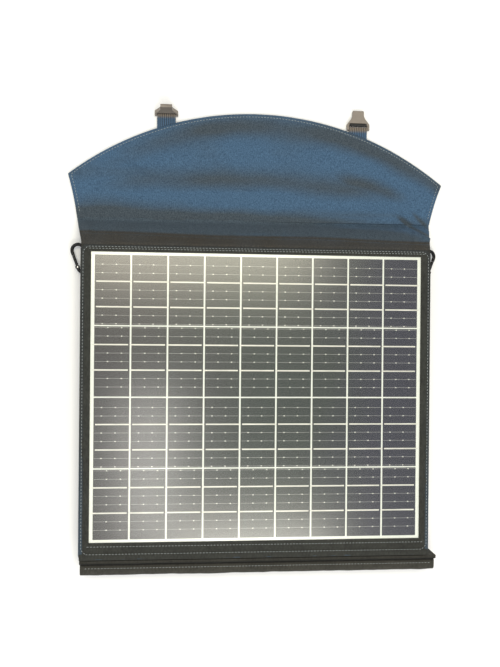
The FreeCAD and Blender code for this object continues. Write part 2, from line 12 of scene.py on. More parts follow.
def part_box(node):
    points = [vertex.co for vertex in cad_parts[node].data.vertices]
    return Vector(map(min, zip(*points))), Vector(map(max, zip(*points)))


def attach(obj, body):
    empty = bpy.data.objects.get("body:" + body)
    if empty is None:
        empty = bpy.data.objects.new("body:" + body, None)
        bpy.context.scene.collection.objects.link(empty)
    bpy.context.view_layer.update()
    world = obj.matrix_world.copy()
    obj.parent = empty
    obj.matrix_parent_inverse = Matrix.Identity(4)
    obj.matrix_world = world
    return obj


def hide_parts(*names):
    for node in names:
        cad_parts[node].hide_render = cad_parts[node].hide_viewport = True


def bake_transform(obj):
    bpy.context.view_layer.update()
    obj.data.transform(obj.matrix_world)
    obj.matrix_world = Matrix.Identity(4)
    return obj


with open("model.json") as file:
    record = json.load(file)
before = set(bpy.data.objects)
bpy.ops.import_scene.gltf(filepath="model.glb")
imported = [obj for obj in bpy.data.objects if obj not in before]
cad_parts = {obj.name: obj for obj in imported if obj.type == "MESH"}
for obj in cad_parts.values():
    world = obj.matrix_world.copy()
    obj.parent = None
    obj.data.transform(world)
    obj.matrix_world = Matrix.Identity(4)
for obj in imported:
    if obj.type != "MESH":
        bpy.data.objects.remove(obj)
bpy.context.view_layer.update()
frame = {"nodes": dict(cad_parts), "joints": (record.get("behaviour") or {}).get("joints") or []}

bl_info = {
    "name": "Folding solar panel case",
    "version": (1, 0, 0),
    "blender": (4, 5, 0),
    "location": "View3D > Sidebar > Solar case",
    "description": "Builds the visible pieces of a folding solar panel case around its construction frame",
    "category": "Object",
}


# ---- places read from the frame ----
def low(node):
    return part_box(node)[0]


def high(node):
    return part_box(node)[1]


def joint_point(name):
    return Vector(next(joint for joint in frame["joints"] if joint["name"] == name)["pos_m"])


FRONT_TOP = high("front_window_cloth").z
PANEL_LOW, PANEL_HIGH = low("front_edge_binding"), high("front_edge_binding")
REAR_LOW, REAR_HIGH = low("rear_edge_binding"), high("rear_edge_binding")
LAMINATE_LOW, LAMINATE_HIGH = low("front_film"), high("front_film")
GUSSET_AXIS = joint_point("gusset_fold")
FLAP_AXIS = joint_point("flap_fold")


# ---- sizes and colours a user would change ----
def length(name, value, note):
    return FloatProperty(name=name, description=note, default=value, unit="LENGTH", precision=5)


def colour(name, value, note):
    return FloatVectorProperty(name=name, description=note, default=value, subtype="COLOR", min=0.0, max=1.0)


def angle(name, degrees, note):
    return FloatProperty(name=name, description=note, default=math.radians(degrees), subtype="ANGLE")


def number(name, value, note):
    return FloatProperty(name=name, description=note, default=value)


class CanvasSettings(bpy.types.PropertyGroup):
    # The flap's blue is painted light on its lit crests, its grey blue is painted shade in its hollows, and
    # the brownish colour is painted shade in its folds and on the gusset's slope by the panel.
    blue: colour("Flap blue", (0.057, 0.118, 0.202), "Blue of the closing flap where its weave is raised")
    shade: colour("Flap shade", (0.055, 0.078, 0.100), "Grey blue of the flap's hollows")
    brown_shade: colour("Flap earth", (0.046, 0.042, 0.034), "Brownish cast where the flap meets the panel")
    charcoal: colour("Panel cloth", (0.036, 0.037, 0.032), "Charcoal canvas round the laminates")
    navy: colour("Binding", (0.035, 0.038, 0.037), "Navy tape that binds the panel edges")
    navy_end: colour("Binding end", (0.046, 0.066, 0.086), "Bluer tape beside the spine")
    thread: colour("Thread", (0.33, 0.36, 0.36), "Sewing thread")
    weave: length("Weave", 0.0011, "Width of one thread pair in the canvas")
    stitch: length("Stitch", 0.0042, "Length of one stitch")
    wave: length("Wave height", 0.0042, "Height of the waves in the laid-out flap")
    flap_base: length("Flap base", 0.484, "Width of the flap where it meets the gusset")
    tip_reach: length("Tip reach", 0.059, "The flap's tips from its base line")
    flap_hollow: length("Side hollow", 0.0012, "How far the flap's sides bow inwards")
    spine_shift: length("Spine shift", 0.006, "How far the padded spine sits to one side")
    tape: length("Tape", 0.0052, "Width of the binding tape on each face")


class LaminateSettings(bpy.types.PropertyGroup):
    cell: colour("Cell", (0.034, 0.034, 0.036), "Blue-black silicon")
    white: colour("Backsheet", (0.86, 0.88, 0.83), "White sheet behind the cells")
    tin: colour("Ribbon", (0.74, 0.73, 0.68), "Tinned copper ribbon")
    columns: IntProperty(name="Columns", description="Cells across a laminate", default=9, min=1)
    rows: IntProperty(name="Rows", description="Cells down a laminate", default=4, min=1)
    column_gap: length("Column gap", 0.0022, "White line between two columns of cells")
    row_gap: length("Row gap", 0.0018, "White line between two rows of cells")
    busbar_pitch: length("Busbar pitch", 0.011, "Distance between two busbars on a cell")
    busbar_first: length("First busbar", 0.0124, "First busbar from the cell's wide edge")
    busbar_width: length("Busbar width", 0.00026, "Width of a fine busbar")


class FittingSettings(bpy.types.PropertyGroup):
    taupe: colour("Buckle", (0.235, 0.200, 0.165), "Moulded buckle plastic")
    black: colour("Black plastic", (0.018, 0.018, 0.020), "Controller and junction box plastic")
    anodised: colour("Carabiner", (0.012, 0.012, 0.014), "Black anodised aluminium")
    webbing_blue: colour("Webbing", (0.085, 0.165, 0.275), "Ribbed strap webbing")
    webbing_tan: colour("Webbing end", (0.330, 0.255, 0.170), "Webbing where it enters a buckle")
    ribs: IntProperty(name="Ribs", description="Ribs across a strap", default=10, min=2)
    bar_radius: length("Buckle bar", 0.0016, "Radius of the bar that a strap loops round")
    # the slot's reach sets its recess and the painted shadow in it
    slot_reach: length("Slot", 0.0036, "Dark slot of a buckle, from its bar's side towards its neck")
    webbing: length("Webbing", 0.025, "Width of the straps")
    socket_strap: length("Socket strap", 0.0595, "Length of the strap behind each socket")
    socket_offset: length("Socket offset", 0.01141, "How much lower the left socket sits than the right one")
    loop_tilt: angle("Loop tilt", 20, "Turn of the carabiner loops about the upright")
    left_tilt: angle("Left tilt", 78, "How far the left buckle stands up from the floor")
    handle_length: length("Handle length", 0.150, "Free length of the carry handle")
    handle_thickness: length("Handle thickness", 0.0024, "Thickness of the carry handle's strap")


class StageSettings(bpy.types.PropertyGroup):
    camera: FloatVectorProperty(name="Camera", description="Where the camera stands", size=3, unit="LENGTH",
                                default=(-0.1004, 0.0849, 1.0361))
    camera_turn: FloatVectorProperty(name="Camera turn", description="How the camera is turned", size=3,
                                     subtype="EULER", default=(-0.00153, -0.08945, 0.00876))
    lens: number("Lens", 40.86, "Focal length in millimetres")
    floor: colour("Floor", (0.99, 0.99, 0.99), "Pale floor")
    key_power: number("Key light", 9.4, "Power of the upper soft light in watts")
    fill_power: number("Fill light", 10.0, "Power of the lower soft light in watts")
    side_power: number("Side light", 2.2, "Power of the side light in watts")
    sky: number("Room light", 0.68, "Strength of the even light all round")


def settings(group):
    return getattr(bpy.context.scene, "solar_case_" + group)


# ---- node materials ----
class Shader:
    """A new material with one Principled shader, and short calls that add nodes to it."""

    def __init__(self, name, base, **sockets):
        self.material = bpy.data.materials.new(name)
        self.material.use_nodes = True
        self.material.diffuse_color = (*base, 1.0)
        self.tree = self.material.node_tree
        self.surface = self.tree.nodes["Principled BSDF"]
        self.base(base)
        for socket, value in sockets.items():
            self.feed(self.surface.inputs[socket.replace("_", " ")], value)

    def feed(self, socket, value):
        if isinstance(value, bpy.types.NodeSocket):
            self.tree.links.new(value, socket)
        else:
            socket.default_value = (*value[:3], 1.0) if socket.type == "RGBA" else value

    def node(self, kind, inputs=None, **fields):
        made = self.tree.nodes.new(kind)
        for field, value in fields.items():
            setattr(made, field, value)
        for socket, value in (inputs or {}).items():
            self.feed(made.inputs[socket], value)
        return made

    def coords(self):
        return self.node("ShaderNodeTexCoord").outputs["Object"]

    def along(self, axis):
        return self.node("ShaderNodeSeparateXYZ", {"Vector": self.coords()}).outputs[axis]

    def attribute(self, name):
        return self.node("ShaderNodeAttribute", attribute_name=name).outputs["Fac"]

    def math(self, operation, first, second):
        return self.node("ShaderNodeMath", {0: first, 1: second}, operation=operation).outputs[0]

    def total(self, first, *pairs):
        """A value plus some others, each times its weight."""
        for value, weight in pairs:
            first = self.math("ADD", first, self.math("MULTIPLY", value, weight))
        return first

    def spread(self, value, low=0.0, high=1.0, to_low=0.0, to_high=1.0):
        return self.node("ShaderNodeMapRange", {"Value": value, "From Min": low, "From Max": high,
                                                "To Min": to_low, "To Max": to_high}).outputs[0]

    def noise(self, scale, detail=3.0, fade=0.5, stretch=(1.0, 1.0, 1.0)):
        place = self.node("ShaderNodeMapping", {"Vector": self.coords(), "Scale": stretch}).outputs[0]
        return self.node("ShaderNodeTexNoise", {"Vector": place, "Scale": scale, "Detail": detail,
                                                "Roughness": fade}).outputs["Fac"]

    def wave(self, pitch, axis, distortion=0.0):
        """Even ridges of one pitch across an axis."""
        sockets = {"Vector": self.coords(), "Scale": math.tau / 20 / pitch, "Distortion": distortion}
        return self.node("ShaderNodeTexWave", sockets, bands_direction=axis).outputs["Fac"]

    def weave(self, pitch):
        """Two sets of threads that cross."""
        return self.math("ADD", self.wave(pitch, "X", 0.6), self.wave(pitch, "Y", 0.6))

    def ramp(self, value, *stops):
        made = self.node("ShaderNodeValToRGB", {"Fac": value})
        points = made.color_ramp.elements
        while len(points) < len(stops):
            points.new(0.5)
        for point, (place, shade) in zip(points, stops):
            point.position, point.color = place, (*shade, 1.0)
        return made.outputs["Color"]

    def tone(self, base, value, share):
        """A colour made a little lighter and darker by a value."""
        return self.ramp(value, *((place, [min(1.0, c * (1 + sign * share)) for c in base])
                                  for place, sign in ((0.3, -1), (0.7, 1))))

    def mix(self, factor, first, second, blend="MIX"):
        return self.node("ShaderNodeMix", {"Factor": factor, "A": first, "B": second}, data_type="RGBA",
                         blend_type=blend).outputs["Result"]

    def base(self, value):
        self.feed(self.surface.inputs["Base Color"], value)

    def roughness(self, value):
        self.feed(self.surface.inputs["Roughness"], value)

    def bump(self, height, strength, distance):
        made = self.node("ShaderNodeBump", {"Height": height, "Strength": strength, "Distance": distance})
        self.tree.links.new(made.outputs["Normal"], self.surface.inputs["Normal"])


def tinted(name, base, share, *grain, **sockets):
    """A shader whose colour wanders a little with a noise, which is kept as its marks."""
    shader = Shader(name, base, **sockets)
    shader.marks = shader.noise(*grain)
    shader.base(shader.tone(base, shader.marks, share))
    return shader


CANVAS_SOCKETS = {"Sheen_Weight": 0.04, "Sheen_Roughness": 0.4, "Specular_IOR_Level": 0.25}


def canvas(name, base, blotch=0.42, end=None):
    """Woven canvas with slubs and soft blotches; painted shade darkens its deep valleys, and one end may
    change colour.
    """
    shader = Shader(name, base, Roughness=0.82, **CANVAS_SOCKETS)
    slubs = shader.noise(420.0, 3.0, 0.7, (1.0, 0.45, 1.0))
    shade = shader.total(shader.math("MULTIPLY", slubs, 0.7), (shader.noise(38.0, 4.0, 0.6), 0.3))
    # painted shade: the canvas goes near black in deep folds, by a mask painted on the spine
    ground = shader.mix(shader.attribute("valley_shade"), shader.tone(base, shade, blotch), (0.004, 0.004, 0.003))
    if end:
        near_spine = shader.spread(shader.along("Y"), -0.02, -0.17)
        ground = shader.mix(near_spine, ground, shader.tone(end, shade, blotch))
    shader.base(ground)
    shader.bump(shader.total(shader.weave(settings("canvas").weave), (slubs, 1.4)), 0.55, 0.0004)
    return shader.material


def flap_canvas():
    """The flap's cloth, with painted light and shade: blue painted light on its crests, grey blue painted
    shade in its hollows, and brownish painted shade in its folds and by the panel.
    """
    cloth = settings("canvas")
    shader = Shader("flap_canvas", cloth.blue, Roughness=0.8, **CANVAS_SOCKETS)
    slubs = shader.noise(780.0, 3.0, 0.75, (1.0, 0.65, 1.0))
    patches = shader.noise(22.0, 3.0, 0.55, (0.6, 1.6, 1.0))
    # painted light and shade: the crest mask and patches choose between lit blue and shaded grey blue
    height = shader.total(shader.attribute("crest"), (patches, 0.5), (slubs, 0.12))
    body = shader.ramp(shader.math("SUBTRACT", height, 0.31), (0.15, cloth.shade), (0.9, cloth.blue))
    lift = shader.ramp(slubs, (0.3, (0.46, 0.50, 0.56)), (0.7, (1.60, 1.52, 1.44)))
    # brownish painted shade where its mask marks folds and the slope by the panel; the slub grain multiplies
    # over it
    shader.base(shader.mix(1.0, shader.mix(shader.attribute("brown_shade"), body, cloth.brown_shade), lift, "MULTIPLY"))
    shader.bump(shader.total(shader.weave(cloth.weave), (slubs, 1.4)), 0.55, 0.0004)
    return shader.material


def plastic(name, base, rough=0.45, grain=1400.0, strength=0.25):
    """Moulded plastic with a fine grain, faint handling marks and painted shadow in its slots."""
    shader = tinted(name, base, 0.12, 60.0, 5.0, 0.65, Specular_IOR_Level=0.45)
    ground = shader.tone(base, shader.marks, 0.12)
    # painted shadow: near black in a buckle's slot recess
    shader.base(shader.mix(shader.attribute("slot"), ground, (0.002, 0.002, 0.002)))
    shader.roughness(shader.spread(shader.marks, to_low=rough - 0.07, to_high=rough + 0.1))
    shader.bump(shader.noise(grain, 2.0, 0.5), strength, 0.0001)
    return shader.material


def metal(name, base, rough=0.35, metallic=1.0, brush=(1.0, 1.0, 1.0)):
    """Metal with drawn or tumbled marks."""
    shader = tinted(name, base, 0.1, 500.0, 3.0, 0.6, brush, Metallic=metallic)
    shader.roughness(shader.spread(shader.marks, to_low=rough - 0.1, to_high=rough + 0.12))
    shader.bump(shader.marks, 0.12, 0.00005)
    return shader.material


def made_once(name, make):
    """A material that several operators share."""
    return bpy.data.materials.get(name) or make(name)


def thread_cloth(name):
    """Twisted polyester thread."""
    shader = tinted(name, settings("canvas").thread, 0.25, 2600.0, 2.0, 0.5, Roughness=0.6)
    shader.bump(shader.marks, 0.3, 0.0001)
    return shader.material


def thread():
    return made_once("sewing_thread", thread_cloth)


# ---- modelling by hand ----
def deselect():
    bpy.ops.object.select_all(action="DESELECT")


def activate(*pieces):
    deselect()
    for piece in pieces:
        piece.select_set(True)
    bpy.context.view_layer.objects.active = pieces[0]


def named(name):
    piece = bpy.context.object
    piece.name = piece.data.name = name
    return piece


def added(name, add, **fields):
    """What one of the add operators makes, under its own name."""
    deselect()
    add(**fields)
    return named(name)


def settle(piece):
    """Bring an object back to the origin, unturned and unscaled, with its place in its mesh."""
    activate(piece)
    bpy.ops.object.transform_apply(location=True, rotation=True, scale=True)
    return piece


def modify(piece, kind, **fields):
    """Add one modifier and apply it."""
    activate(piece)
    modifier = piece.modifiers.new(kind.title(), kind)
    for field, value in fields.items():
        setattr(modifier, field, value)
    bpy.ops.object.modifier_apply(modifier=modifier.name)
    return piece


def new_block(name, lowest, highest, bevel=0.0):
    """A rectangular block between two corners, its edges rounded."""
    lowest, highest = Vector(lowest), Vector(highest)
    piece = added(name, bpy.ops.mesh.primitive_cube_add, size=1, location=(lowest + highest) / 2)
    piece.scale = highest - lowest
    settle(piece)
    if bevel:
        modify(piece, "BEVEL", width=bevel, segments=2, limit_method="ANGLE")
    return piece


def new_bar(name, radius, length):
    """A round bar along X, with its middle at the origin."""
    return settle(added(name, bpy.ops.mesh.primitive_cylinder_add, vertices=24, radius=radius, depth=length,
                        rotation=(0, math.pi / 2, 0)))


def in_edit(piece, *steps):
    """Run edit-mode steps on everything in a piece."""
    activate(piece)
    bpy.ops.object.mode_set(mode="EDIT")
    bpy.ops.mesh.select_all(action="SELECT")
    for step in steps:
        step()
    bpy.ops.object.mode_set(mode="OBJECT")
    return piece


def weld():
    bpy.ops.mesh.remove_doubles(threshold=1e-6)


def outwards():
    bpy.ops.mesh.normals_make_consistent(inside=False)


def close_ends():
    bpy.ops.mesh.select_all(action="SELECT")
    bpy.ops.mesh.fill_holes(sides=0)
    outwards()


def new_grid(name, across, along, rule):
    """A grid whose points, from 0 to 1 each way, are put in place by a rule."""
    piece = settle(added(name, bpy.ops.mesh.primitive_grid_add, x_subdivisions=across, y_subdivisions=along,
                         size=1))
    for vertex in piece.data.vertices:
        vertex.co = rule(vertex.co.x + 0.5, vertex.co.y + 0.5)
    return piece


def smooth_loop(points, count, closed=True):
    """Evenly spaced points on a smooth line through a few given ones."""
    points = [Vector(p) for p in points]
    last = len(points) - 1
    fine = []
    for i in range(last + closed):
        near = [(i + k) % (last + 1) if closed else min(max(i + k, 0), last) for k in (-1, 0, 1, 2)]
        a, b, c, d = (points[k] for k in near)
        for t in (step / 12 for step in range(12)):
            fine.append(0.5 * ((2 * b) + (c - a) * t + (2 * a - 5 * b + 4 * c - d) * t * t
                               + (3 * b - a - 3 * c + d) * t ** 3))
    fine.append(points[0] if closed else points[-1])
    runs = [0.0]
    for first, second in zip(fine, fine[1:]):
        runs.append(runs[-1] + (second - first).length)
    spaced, at = [], 0
    for k in range(count):
        want = runs[-1] * k / (count if closed else count - 1)
        while at < len(runs) - 2 and runs[at + 1] < want:
            at += 1
        share = (want - runs[at]) / max(runs[at + 1] - runs[at], 1e-12)
        spaced.append(fine[at].lerp(fine[at + 1], share))
    return spaced


def new_sleeve(name, profile, start, end, stations, warp=None):
    """A closed sleeve along X: a loop of (Y, Z) points swept from start to end, with both ends closed."""
    around = len(profile)

    def rule(u, v):
        y, z = profile[round(v * around) % around][:2]
        place = Vector((start + (end - start) * u, y, z))
        return warp(place, u) if warp else place

    piece = new_grid(name, stations, around, rule)
    return in_edit(piece, weld, close_ends)


def ripple(place, scale, height):
    """A soft random offset for cloth."""
    return height * noise.noise(Vector(place) * scale)


def patch(co, across, up, height, seed):
    """A soft random share for paint, with its own scale each way."""
    return ripple((co.x * across, co.y * up, seed), 1.0, height)


def yz_line(points, count, closed=False):
    return [(p.x, p.y) for p in smooth_loop([(y, z, 0.0) for y, z in points], count, closed)]


def on_ring(radius, *degrees):
    """Points on a circle about the origin, as pairs."""
    return [(radius * math.cos(math.radians(a)), radius * math.sin(math.radians(a))) for a in degrees]


def join(name, pieces):
    activate(*pieces)
    if len(pieces) > 1:
        bpy.ops.object.join()
    return named(name)


def paint(piece, name, rule):
    """Keep one number for each vertex, for the materials to read."""
    layer = piece.data.attributes.new(name, "FLOAT", "POINT")
    layer.data.foreach_set("value", [rule(vertex.co) for vertex in piece.data.vertices])


def dress(piece, material, slot, *replaced, body=None, angle=40.0):
    """Give a finished piece its material, shading and body, and hide the frame nodes that it stands for."""
    activate(piece)
    piece.data.materials.clear()
    piece.data.materials.append(material)
    bpy.ops.object.shade_smooth_by_angle(angle=math.radians(angle))
    if replaced:
        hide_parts(*replaced)
    if body:
        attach(piece, body)
    return piece


def refinish(material, *nodes):
    """A better material on frame nodes whose shape is kept."""
    for node in nodes:
        for material_slot in frame["nodes"][node].material_slots:
            material_slot.material = material


def sew(name, points, closed=False):
    """A run of single stitches along a line of points, each with a small gap after it."""
    pitch, thick, share = settings("canvas").stitch, 0.0007, 0.74
    path = added(name + "_line", bpy.ops.curve.primitive_nurbs_path_add)
    path.data.splines.clear()
    spline = path.data.splines.new("POLY")
    spline.points.add(len(points) - 1)
    for point, place in zip(spline.points, points):
        point.co = (*place, 1.0)
    spline.use_cyclic_u = closed
    path.data.twist_mode = "Z_UP"
    stitch = added(name, bpy.ops.mesh.primitive_ico_sphere_add, subdivisions=1, radius=0.5,
                   location=(pitch * share / 2, 0, 0))
    stitch.scale = (pitch * share, thick, thick)
    settle(stitch)
    modify(stitch, "ARRAY", fit_type="FIT_CURVE", curve=path, use_relative_offset=False,
           use_constant_offset=True, constant_offset_displace=(pitch, 0, 0))
    modify(stitch, "CURVE", object=path, deform_axis="POS_X")
    activate(path)
    bpy.ops.object.delete()
    return stitch


def rectangle(low_x, high_x, low_y, high_y, z, cut=0.006, step=0.02):
    """Points round a rectangle with cut corners, for a stitch line."""
    corners = [Vector((x, y, z)) for x, y in (
        (low_x + cut, low_y), (high_x - cut, low_y), (high_x, low_y + cut), (high_x, high_y - cut),
        (high_x - cut, high_y), (low_x + cut, high_y), (low_x, high_y - cut), (low_x, low_y + cut))]
    points = []
    for a, b in zip(corners, corners[1:] + corners[:1]):
        count = max(1, round((b - a).length / step))
        points += [a.lerp(b, k / count) for k in range(count)]
    return points


class PieceOperator:
    """What every operator here shares: it builds its pieces and raises if it can't."""
    bl_options = {"REGISTER", "UNDO"}

    def execute(self, context):
        self.build()
        return {"FINISHED"}


# ---- floor, light and camera ----
class SOLARCASE_OT_stage(PieceOperator, bpy.types.Operator):
    """Make the pale floor, the soft lights and the camera"""
    bl_idname = "solar_case.stage"
    bl_label = "Stage"

    def soft_light(self, name, place, size, power, tint):
        lamp = added(name, bpy.ops.object.light_add, type="AREA", location=place).data
        lamp.shape = "RECTANGLE"
        lamp.size, lamp.size_y = size
        lamp.energy, lamp.color = power, tint

    def build(self):
        stage, scene = settings("stage"), bpy.context.scene
        floor = settle(added("floor", bpy.ops.mesh.primitive_plane_add, size=12.0, location=(0, 0, -0.0010)))
        paper = tinted("pale_floor", stage.floor, 0.01, 6.0, 2.0, Roughness=0.9, Specular_IOR_Level=0.1)
        floor.data.materials.append(paper.material)
        lamps = (("upper", (-0.06, 0.47), (0.82, 0.40), stage.key_power, (1.0, 0.93, 0.74)),
                 ("lower", (0.14, -0.80), (0.52, 0.44), stage.fill_power, (1.0, 0.96, 0.86)),
                 ("side", (-0.205, -0.36), (0.13, 0.50), stage.side_power, (1.0, 0.98, 0.91)))
        for word, place, size, power, tint in lamps:
            self.soft_light(word + "_soft_light", (*place, 1.55), size, power, tint)
        scene.world = bpy.data.worlds.new("room")
        scene.world.use_nodes = True
        background = scene.world.node_tree.nodes["Background"].inputs
        background["Color"].default_value = (0.93, 0.96, 1.0, 1.0)
        background["Strength"].default_value = stage.sky
        scene.camera = added("camera", bpy.ops.object.camera_add, location=stage.camera,
                             rotation=stage.camera_turn)
        scene.camera.data.lens = stage.lens
        scene.view_settings.view_transform = "Standard"


# ---- laminates ----
class SOLARCASE_OT_laminates(PieceOperator, bpy.types.Operator):
    """Finish the cells, backsheets, ribbons and films, and add the fine busbars with their solder pads"""
    bl_idname = "solar_case.laminates"
    bl_label = "Laminates"

    def cell(self):
        """Silicon with fine fingers, and a slow change of tint from side to side."""
        base = settings("laminate").cell
        shader = Shader("silicon_cell", base, Roughness=0.5, Specular_IOR_Level=0.1)
        line = shader.ramp(shader.wave(0.0016, "X"), (0.86, base), (0.97, [c + 0.035 for c in base]))
        wander = shader.math("SUBTRACT", shader.noise(7.0, 2.0), 0.5)
        share = shader.spread(shader.total(shader.along("X"), (wander, 0.16)), -0.22, 0.22)
        tint = shader.ramp(share, (0.1, (1.10, 1.0, 0.98)), (0.5, (0.86, 1.14, 0.90)),
                           (0.68, (0.90, 1.12, 0.92)), (0.9, (0.84, 0.85, 1.22)))
        shader.base(shader.mix(1.0, line, tint, "MULTIPLY"))
        return shader.material

    def film(self):
        """Clear film, finely embossed: see-through, with a soft reflection that grows at low angles."""
        shader = Shader("clear_film", (1.0, 1.0, 1.0), Roughness=0.22, IOR=1.45, Metallic=1.0)
        shader.bump(shader.noise(420.0, 2.0), 0.08, 0.0002)
        clear = shader.node("ShaderNodeBsdfTransparent", {"Color": (0.985, 0.99, 0.985)}).outputs[0]
        share = shader.math("MULTIPLY", shader.node("ShaderNodeFresnel", {"IOR": 1.5}).outputs[0], 0.90)
        mix = shader.node("ShaderNodeMixShader", {0: share, 1: clear, 2: shader.surface.outputs[0]})
        shader.feed(shader.tree.nodes["Material Output"].inputs["Surface"], mix.outputs[0])
        return shader.material

    def one_cell(self, name, size, thick, flip, pads):
        """Six fine busbars, or their two solder pads each, on a cell whose lowest corner is the origin."""
        facts, margin = settings("laminate"), 0.0008
        half, pad_x, pad_y = facts.busbar_width / 2, 0.0009, 0.0006
        pieces = []
        for bar in (0, 1, 3, 4, 6, 7):
            offset = facts.busbar_first + bar * facts.busbar_pitch
            y = offset if flip else size.y - offset
            if not pads:
                pieces.append(new_block("bar", (margin, y - half, 0), (size.x - margin, y + half, thick)))
                continue
            for x in (size.x * share for share in ((0.38, 0.77) if flip else (0.22, 0.61))):
                pad_high = (x + pad_x, y + pad_y, thick * 1.3)
                pieces.append(new_block("pad", (x - pad_x, y - pad_y, 0), pad_high))
        return join(name, pieces)

    def fine_lines(self, side, word, material, level, facing):
        """One row of cells at a time, set on the cells of one panel."""
        facts = settings("laminate")
        cells_low, cells_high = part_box(side + "_cells")
        gap = Vector((facts.column_gap, facts.row_gap, 0))
        count = Vector((facts.columns, facts.rows, 1))
        size = Vector((all_cells - (n - 1) * space) / n
                      for all_cells, n, space in zip(cells_high - cells_low, count, gap))
        rows = []
        for row in range(facts.rows):
            name, flip = f"{side}_{word}_{row + 1}", row % 2 == 1
            piece = self.one_cell(name, size, 0.00005, flip, word == "solder_pads")
            modify(piece, "ARRAY", count=facts.columns, use_relative_offset=False, use_constant_offset=True,
                   constant_offset_displace=(size.x + gap.x, 0, 0))
            y = cells_high.y - size.y - row * (size.y + gap.y)
            for vertex in piece.data.vertices:
                x, up, depth = vertex.co
                vertex.co = Vector((x + cells_low.x, up + y, level + facing * depth))
            rows.append(piece)
        lines = join(f"{side}_{word}", rows)
        if facing < 0:
            in_edit(lines, outwards)
        dress(lines, material, "ribbon", body=side + "_panel")

    def build(self):
        facts = settings("laminate")
        white = tinted("white_backsheet", facts.white, 0.03, 30.0, Roughness=0.5).material
        tin = tinted("tinned_ribbon", facts.tin, 0.12, 180.0, 3.0, 0.6, (0.2, 1.0, 1.0), Roughness=0.5,
                     Metallic=0.35).material
        silver = tinted("printed_silver", (0.55, 0.55, 0.53), 0.2, 300.0, 3.0, 0.6, Roughness=0.5,
                        Metallic=0.2).material
        kept = (("cells", self.cell()), ("backsheet", white), ("ribbons", tin), ("film", self.film()))
        for side, level, facing in (("front", high("front_cells").z, 1), ("rear", low("rear_cells").z, -1)):
            for part, material in kept:
                refinish(material, f"{side}_{part}")
            self.fine_lines(side, "fine_busbars", silver, level, facing)
            self.fine_lines(side, "solder_pads", tin, level, facing)


# ---- cloth of the two panels ----
def graded(*stops):
    """Grid lines through a run of places; each stop is (place, steps to the next)."""
    lines = []
    for (place, steps), (after, _) in zip(stops, stops[1:]):
        lines += [place + (after - place) * k / steps for k in range(steps)]
    return lines + [stops[-1][0]]


def new_lattice(name, across, along, rule):
    """A grid on given lines: rule(x, y) gives each point's height."""
    def place(u, v):
        x = across[round(u * (len(across) - 1))]
        y = along[round(v * (len(along) - 1))]
        return Vector((x, y, rule(x, y)))
    return new_grid(name, len(across) - 1, len(along) - 1, place)


def cut_window(piece, low_x, high_x, low_y, high_y):
    """Delete the faces inside a rectangle."""
    activate(piece)
    bpy.ops.object.mode_set(mode="EDIT")
    mesh = bmesh.from_edit_mesh(piece.data)
    for face in mesh.faces:
        middle = face.calc_center_median()
        face.select_set(low_x < middle.x < high_x and low_y < middle.y < high_y)
    bmesh.update_edit_mesh(piece.data)
    bpy.ops.mesh.delete(type="FACE")
    bpy.ops.object.mode_set(mode="OBJECT")
    return piece


def thicken(piece, thickness):
    """Give a sheet its thickness below its faces."""
    modify(piece, "SOLIDIFY", thickness=thickness, offset=-1.0, use_even_offset=True)


def held_in(value, lowest=0.0, highest=1.0):
    return max(lowest, min(highest, value))


def straight(reach, y, z, shift=0.0):
    """Points of a line along X."""
    return [Vector((shift + reach * (k / 30 - 1), y, z)) for k in range(61)]


def hump(value, middle, half_width):
    """A smooth bump of height 1."""
    share = (value - middle) / half_width
    return max(0.0, 1 - share * share) ** 2


# edges of the panel cloth under its tape, and the dark tuck and raised welt between laminate and spine
CLOTH_X = PANEL_HIGH.x - 0.0012
CLOTH_LOW, CLOTH_HIGH = PANEL_LOW.y + 0.0004, PANEL_HIGH.y - 0.0012
TUCK_Y, WELT_Y, TUCK_DEPTH = -0.2008, -0.2065, 0.0009


